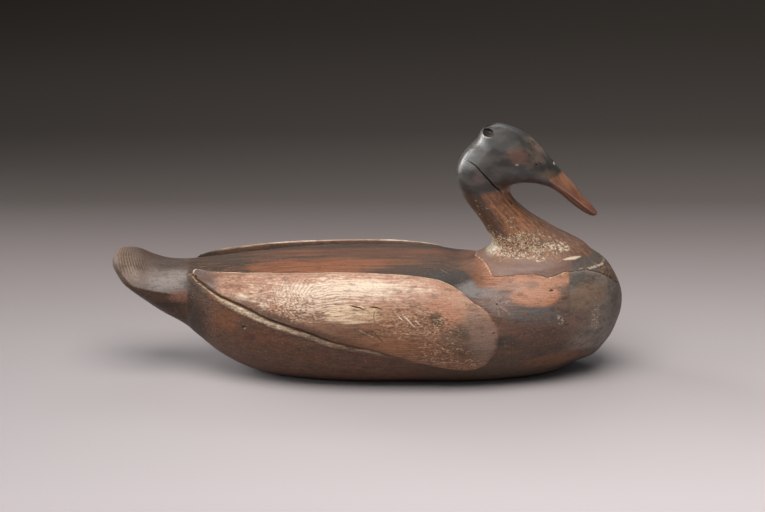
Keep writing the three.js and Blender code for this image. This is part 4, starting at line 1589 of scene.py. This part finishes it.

# %% [markdown]
# ### The neck
#
# The nape is painted darker, as painted shade, and handling has paled the throat. The plain band
# above the joint was touched up once, and a dark coat starts square on its right, as on the
# breast below.

# %% Neck: wood of nape, side and throat
f.surface = f.colour(grain, (102, 66, 43), (162, 108, 73))
f.coat(f.fade(blot, 0.5, 0.65) * 0.35, (112, 72, 50))
across = f.x + f.z * 0.62
# painted shade on the side of the nape, darker higher up
nape_side = f.fade(across + ragged * 9, 208, 198) * f.fade(f.z, 118, 130)
f.coat(nape_side * 0.85, f.colour(f.fade(f.z, 140, 160), (76, 54, 40), (52, 42, 36)))
down = f.x + f.z * 0.75
throat = f.fade(down + ragged * 26, 238, 264)
throat_wood = f.colour(f.fade(grain + (blot - 0.5), 0.3, 0.8), (108, 79, 62), (132, 98, 78))
f.coat(throat * 0.8, throat_wood)
front = f.fade(down + ragged * 14, 276, 300)
f.coat(front * 0.7, (104, 80, 68))
print("neck wood laid")

# %% Neck: the band above the joint
band = f.fade(f.z + ragged * 5, 112, 107)
f.coat(band * 0.9, f.colour(f.fade(blot, 0.4, 0.6), (112, 85, 74), (118, 86, 70)))
right = f.fade(f.x + ragged * 3, 178.5, 181) * f.fade(f.z + ragged * 4, 110.5, 107.5)
f.coat(right * 0.9, f.colour(f.fade(fleck, 0.4, 0.6), (78, 74, 68), (96, 84, 74)))
end_grain = f.fade(f.x, 202, 208) * f.fade(f.z, 108, 98)
f.coat(end_grain * 0.8, f.colour(f.fade(fleck, 0.42, 0.58), (66, 50, 38), (136, 106, 80)))
seam_edge = f.within(over_seam(f), -0.5, 1.1, 0.4) * f.fade(f.x, 180, 190)
f.coat(seam_edge * f.fade(fleck, 0.44, 0.56) * 0.8, (206, 184, 158))
print("band laid")

# %% [markdown]
# ### White flecks
#
# Low on the neck, a white coat has flaked to short curls with a dark edge beside them. The line
# where a noise crosses its middle value is a curl by itself: a thin band round that value is
# the paint, and what lies just below it is painted dark, as dirt and as the curl's shadow.

# %% Neck: white flecks
dense = f.spot((135, -24, 118), (36, 30, 12), ragged * 0.6, 0.45) * f.fade(f.z + ragged * 4, 107.5, 111)
sparse = f.spot((121, -18, 140), (22, 22, 28), ragged * 0.9, 0.5)
left_base = f.spot((110.5, -4, 116), (6, 14, 12), ragged * 0.4, 0.4)
curl = f.speckle((3.4, 3.0, 2.4), 23.9, 2, 0.6)
worm = f.fade(f.size_of(curl - 0.5), 0.06, 0.025)
crowd = dense * 0.3 + sparse * 0.1 + left_base * 0.3
spread_out = f.fade(fleck * 0.7 + (blot - 0.5) * 0.6 + crowd, 0.5, 0.62)
curls = (worm | f.fade(fleck, 0.58, 0.64)) * spread_out
# painted shadow and dirt just beside each curl
shadow = f.fade(curl, 0.5, 0.42) * spread_out
f.coat(shadow * 0.85, (84, 60, 36))
f.coat(curls * 0.8, f.colour(f.fade(fine, 0.4, 0.66), (156, 134, 98), (222, 204, 178)))
white_wash = left_base * f.fade(fleck + (fine - 0.5) * 0.5, 0.36, 0.56)
f.coat(white_wash * 0.6, (186, 176, 150))
print("flecks laid")

# %% Neck: one long white dash and a streak
dash = f.spot((181, -30, 110), (8.5, 12, 1.0), ragged * 0.8 + (fleck - 0.5) * 0.8, 0.3)
side_streak = f.spot((168, -24, 119), (9, 12, 4), ragged * 0.6, 0.3) * f.fade(fine + (fleck - 0.5), 0.5, 0.6)
f.coat(dash * 0.92 | side_streak * 0.7, (226, 206, 180))
print("neck laid")

# %% [markdown]
# ### The head
#
# Its nearly black paint is smooth and shines. The brow, the cheek and a spot behind the eye
# are worn to brown. A little pale wood shows at the rims of the nail hole and the crest hole,
# and both holes are painted dark inside, as painted shade.

# %% Head: polished black over brown
hood_line = f.z - ((f.x - 83) * 0.2 & 8.4) + ragged * 4
jaw = f.fade(f.x, 131, 135) * f.fade(f.z, 155, 158)
hood = f.fade(hood_line + (fine - 0.5) * 4, 159.5, 166) | jaw
paint = f.colour(f.fade(blot, 0.4, 0.62), BLACK_GREEN, (68, 65, 61))
f.coat(hood * 0.97, paint)
brow = f.spot((152, -2, 207), (28, 12, 7), ragged * 0.7, 0.4)
brow = brow | f.spot((148, -16, 199), (14, 10, 8), ragged * 1.2, 0.6) * 0.45
f.coat(brow * f.fade(fine + blot + (fleck - 0.5), 0.66, 1.04) * 0.85, (126, 100, 86))
red = f.spot((131, -26, 202), (9, 9, 7), ragged * 1.2, 0.5)
f.coat(red * 0.55, (116, 82, 70))
f.coat(f.spot((97, -24, 180), (5, 9, 5), ragged, 0.6) * 0.4, (104, 78, 76))
f.coat(f.spot((130, -24, 194.5), (1.8, 6, 1.0), ragged * 0.6, 0.3) * 0.6, (168, 160, 150))
cheek = f.spot((157, -15, 183), (9, 10, 4), ragged * 1.1, 0.6)
f.coat(cheek * 0.6, (116, 92, 70))
print("hood laid")

# %% Head: nail hole and crest hole
nail_chip = f.spot((164.2, -3.7, 190), (1.4, 3, 1.5), ragged * 0.5, 0.2)
f.coat(nail_chip * 0.9, (206, 184, 160))
# painted shade inside the nail hole
nail_hole_shade = f.spot((162.6, -3.4, 192.1), (1.3, 2.4, 1.2), 0.0, 0.2)
f.coat(nail_hole_shade * 0.95, (18, 15, 13))
# painted shade inside the crest hole, dark with brown
hole = f.spot((104.6, -11, 218.6), (6.2, 7.5, 3.4), ragged * 0.3, 0.3)
f.coat(hole * 0.92, f.colour(f.fade(fleck, 0.45, 0.6), (20, 15, 12), (70, 52, 38)))
hole_edge = f.spot((104, -15, 216.2), (8, 3, 0.9), ragged * 0.5, 0.4)
f.coat(hole_edge * 0.6, (164, 154, 142))
print("head laid")

# %% [markdown]
# ### The bill
#
# The bill keeps a red brown stain, darker under the line of the mouth and at the tip. The
# line itself is carved; a pale line along it is worn edge and painted highlight, and a painted
# highlight lies on top of the bill.

# %% Bill
bill_edge = 179.2 + (f.x - 160) * 0.27
bill = f.fade(bill_edge - f.z + ragged * 3, -1.6, 1.6)
bill = bill * f.fade(f.x + ragged * 2, 158.4, 159.6) * f.fade(f.z, 134, 138)
bill_stain_and_highlight = f.colour(f.fade(streak * 0.5 + blot * 0.5, 0.4, 0.6), (116, 75, 54), (143, 96, 69))
groove_line = f.z + (f.x - 169) * 0.81
bill_stain_and_highlight = f.colour(f.fade(groove_line, 170, 169.2) * 0.75, bill_stain_and_highlight, (92, 56, 42))
bill_root = f.fade(groove_line, 169.5, 168) * f.fade(f.x, 168, 160)
bill_stain_and_highlight = f.colour(bill_root * 0.8, bill_stain_and_highlight, (58, 46, 38))
# a pale worn edge along the mouth line, painted also as its highlight
bill_stain_and_highlight = f.colour(f.within(groove_line, 170.2, 171.2, 0.4) * 0.5, bill_stain_and_highlight, (186, 128, 98))
bill_stain_and_highlight = f.blots(bill_stain_and_highlight, [
    # the first blot is a painted highlight on top of the bill
    ((174, -4, 174), (14, 9, 7), 0.4, (162, 114, 88)),
    ((200, -3, 146), (8, 10, 7), 0.55, (104, 62, 50)),
], ragged * 0.6, 0.5)
f.coat(bill, bill_stain_and_highlight)
print("bill laid")

# %% Specks, relief and shine of the neck block
tooth = f.speckle((1.6, 1.4, 1.4), 61.3, 2)
f.coat(f.fade(tooth, 0.5, 0.75) * 0.25, (44, 38, 34))
# a dull spot right of the crest hole, also painted darker as painted shade
dull_and_shaded_spot = f.spot((117, -17, 215), (14, 15, 8), ragged * 0.4, 0.5)
f.coat(dull_and_shaded_spot * hood * 0.5, (36, 36, 34))
roughness = 0.34 + (fine - 0.5) * 0.2 + (1 - hood) * 0.16 + dull_and_shaded_spot * hood * 0.4
relief = grain * (1 - hood) * 0.3 + curls * 0.35 + fine * 0.25 + tooth * 0.15
head_piece.data.materials.clear()
head_piece.data.materials.append(f.finish(roughness, relief, 0.28, 0.64))

# %% [markdown]
# ## The floor
#
# The floor's colour is graded, pale in front and dark far behind: painted light in place of a
# light that fades with distance, so the grading holds in every view. It is also painted a little
# lighter to the right, against the stronger light from the left.

# %% Greys of the paper
PAPER = SimpleNamespace(front=-400, back=1800)
FLOOR_FALLOFF_GREYS = [
    (-300, (189, 181, 183)), (60, (165, 158, 158)), (330, (134, 125, 124)), (560, (93, 86, 83)),
    (720, (80, 74, 70)), (900, (66, 60, 56)), (1100, (63, 57, 53)), (1600, (56, 50, 44)),
]
FLOOR_SIZE = 6


def floor_painted_falloff():
    f = Finish("floor_painted_falloff")
    where = f.fade(f.y, PAPER.front, PAPER.back)
    where.socket.node.interpolation_type = "LINEAR"
    ramp = f.tree.nodes.new("ShaderNodeValToRGB")
    while len(ramp.color_ramp.elements) < len(FLOOR_FALLOFF_GREYS):
        ramp.color_ramp.elements.new(0.5)
    for element, (at, grey) in zip(ramp.color_ramp.elements, FLOOR_FALLOFF_GREYS):
        element.position = (at - PAPER.front) / (PAPER.back - PAPER.front)
        element.color = tone(grey)
    f.tree.links.new(where.socket, ramp.inputs["Fac"])
    # painted light: the floor is a little lighter to the right, against the light from the left
    rightward_painted_light = f.fade(f.y, 350, 800, 0.0005, 0.0008) * f.fade(f.y, 750, 1300, 1, 0.65)
    paper = Value(f, ramp.outputs["Color"])
    even = f.vector("SCALE", paper, {"Scale": 0.95 + f.x * rightward_painted_light})
    f.tree.links.new(even.socket, f.shader.inputs["Base Color"])
    f.shader.inputs["Roughness"].default_value = 0.9
    f.shader.inputs["Specular IOR Level"].default_value = 0.1
    return f.material


print("paper from", PAPER.front, "to", PAPER.back, "mm")

# %% Floor
sheet = bmesh.new()
bmesh.ops.create_grid(sheet, x_segments=1, y_segments=1, size=FLOOR_SIZE)
floor = object_of(sheet, "floor")
floor.data.materials.append(floor_painted_falloff())
bpy.context.scene.collection.objects.link(floor)
print("floor", list(floor.dimensions))

# %% [markdown]
# ## Light
#
# One large soft light hangs above, a little to the front, and a panel fills from the left, as
# in a studio. A weak strip on the left behind draws the rim of the nape, and a strip high
# behind draws the crown.


# %% Lights
def soft_light(name, place, target, wide, deep, power, colour, spread=180):
    data = bpy.data.lights.new(name, "AREA")
    data.shape = "RECTANGLE"
    data.size, data.size_y = wide, deep
    data.energy = power
    data.color = colour
    data.spread = math.radians(spread)
    light = bpy.data.objects.new(name, data)
    light.location = place
    light.rotation_euler = (Vector(target) - Vector(place)).to_track_quat("-Z", "Y").to_euler()
    bpy.context.scene.collection.objects.link(light)
    return light


soft_light("overhead", (-0.1, -0.55, 1.55), (0, 0, 0.05), 1.5, 1.2, 31, (1, 0.975, 0.94))
soft_light("left_panel", (-1.4, 0.1, 0.7), (0.1, 0, 0.15), 2.0, 0.95, 18, (0.98, 0.99, 1))
soft_light("nape_strip", (-1.05, 0.8, 0.55), (0.1, 0, 0.24), 0.42, 0.95, 1.1, (1, 1, 0.98), 50)
soft_light("crown_strip", (0.35, 1.9, 1.85), (0.05, 0, 0.15), 1.6, 0.5, 8, (0.96, 0.98, 1))
world = bpy.data.worlds.new("studio")
world.use_nodes = True
world.node_tree.nodes["Background"].inputs["Color"].default_value = (0.9, 0.93, 1, 1)
world.node_tree.nodes["Background"].inputs["Strength"].default_value = 0.16
bpy.context.scene.world = world
bpy.context.scene.view_settings.view_transform = "Standard"
print("lights", [thing.name for thing in bpy.data.lights])

# %% [markdown]
# ## Camera
#
# The camera looks slightly down from the side through a long lens, so the far wing shows
# over the near one and the shape isn't distorted.

# %% Camera
CAMERA_DISTANCE = 1.908
CAMERA_HEIGHT_ANGLE = math.radians(17)
CAMERA_TARGET = Vector((0.013, 0, 0.1033))
camera_data = bpy.data.cameras.new("camera")
camera_data.sensor_width = 36
camera_data.lens = 100.27
camera = bpy.data.objects.new("camera", camera_data)
back_off = Vector((0, -math.cos(CAMERA_HEIGHT_ANGLE), math.sin(CAMERA_HEIGHT_ANGLE)))
camera.location = CAMERA_TARGET + back_off * CAMERA_DISTANCE
camera.rotation_euler = (-back_off).to_track_quat("-Z", "Y").to_euler()
bpy.context.scene.collection.objects.link(camera)
bpy.context.scene.camera = camera
print("camera at", [round(c, 3) for c in camera.location])

# %% [markdown]
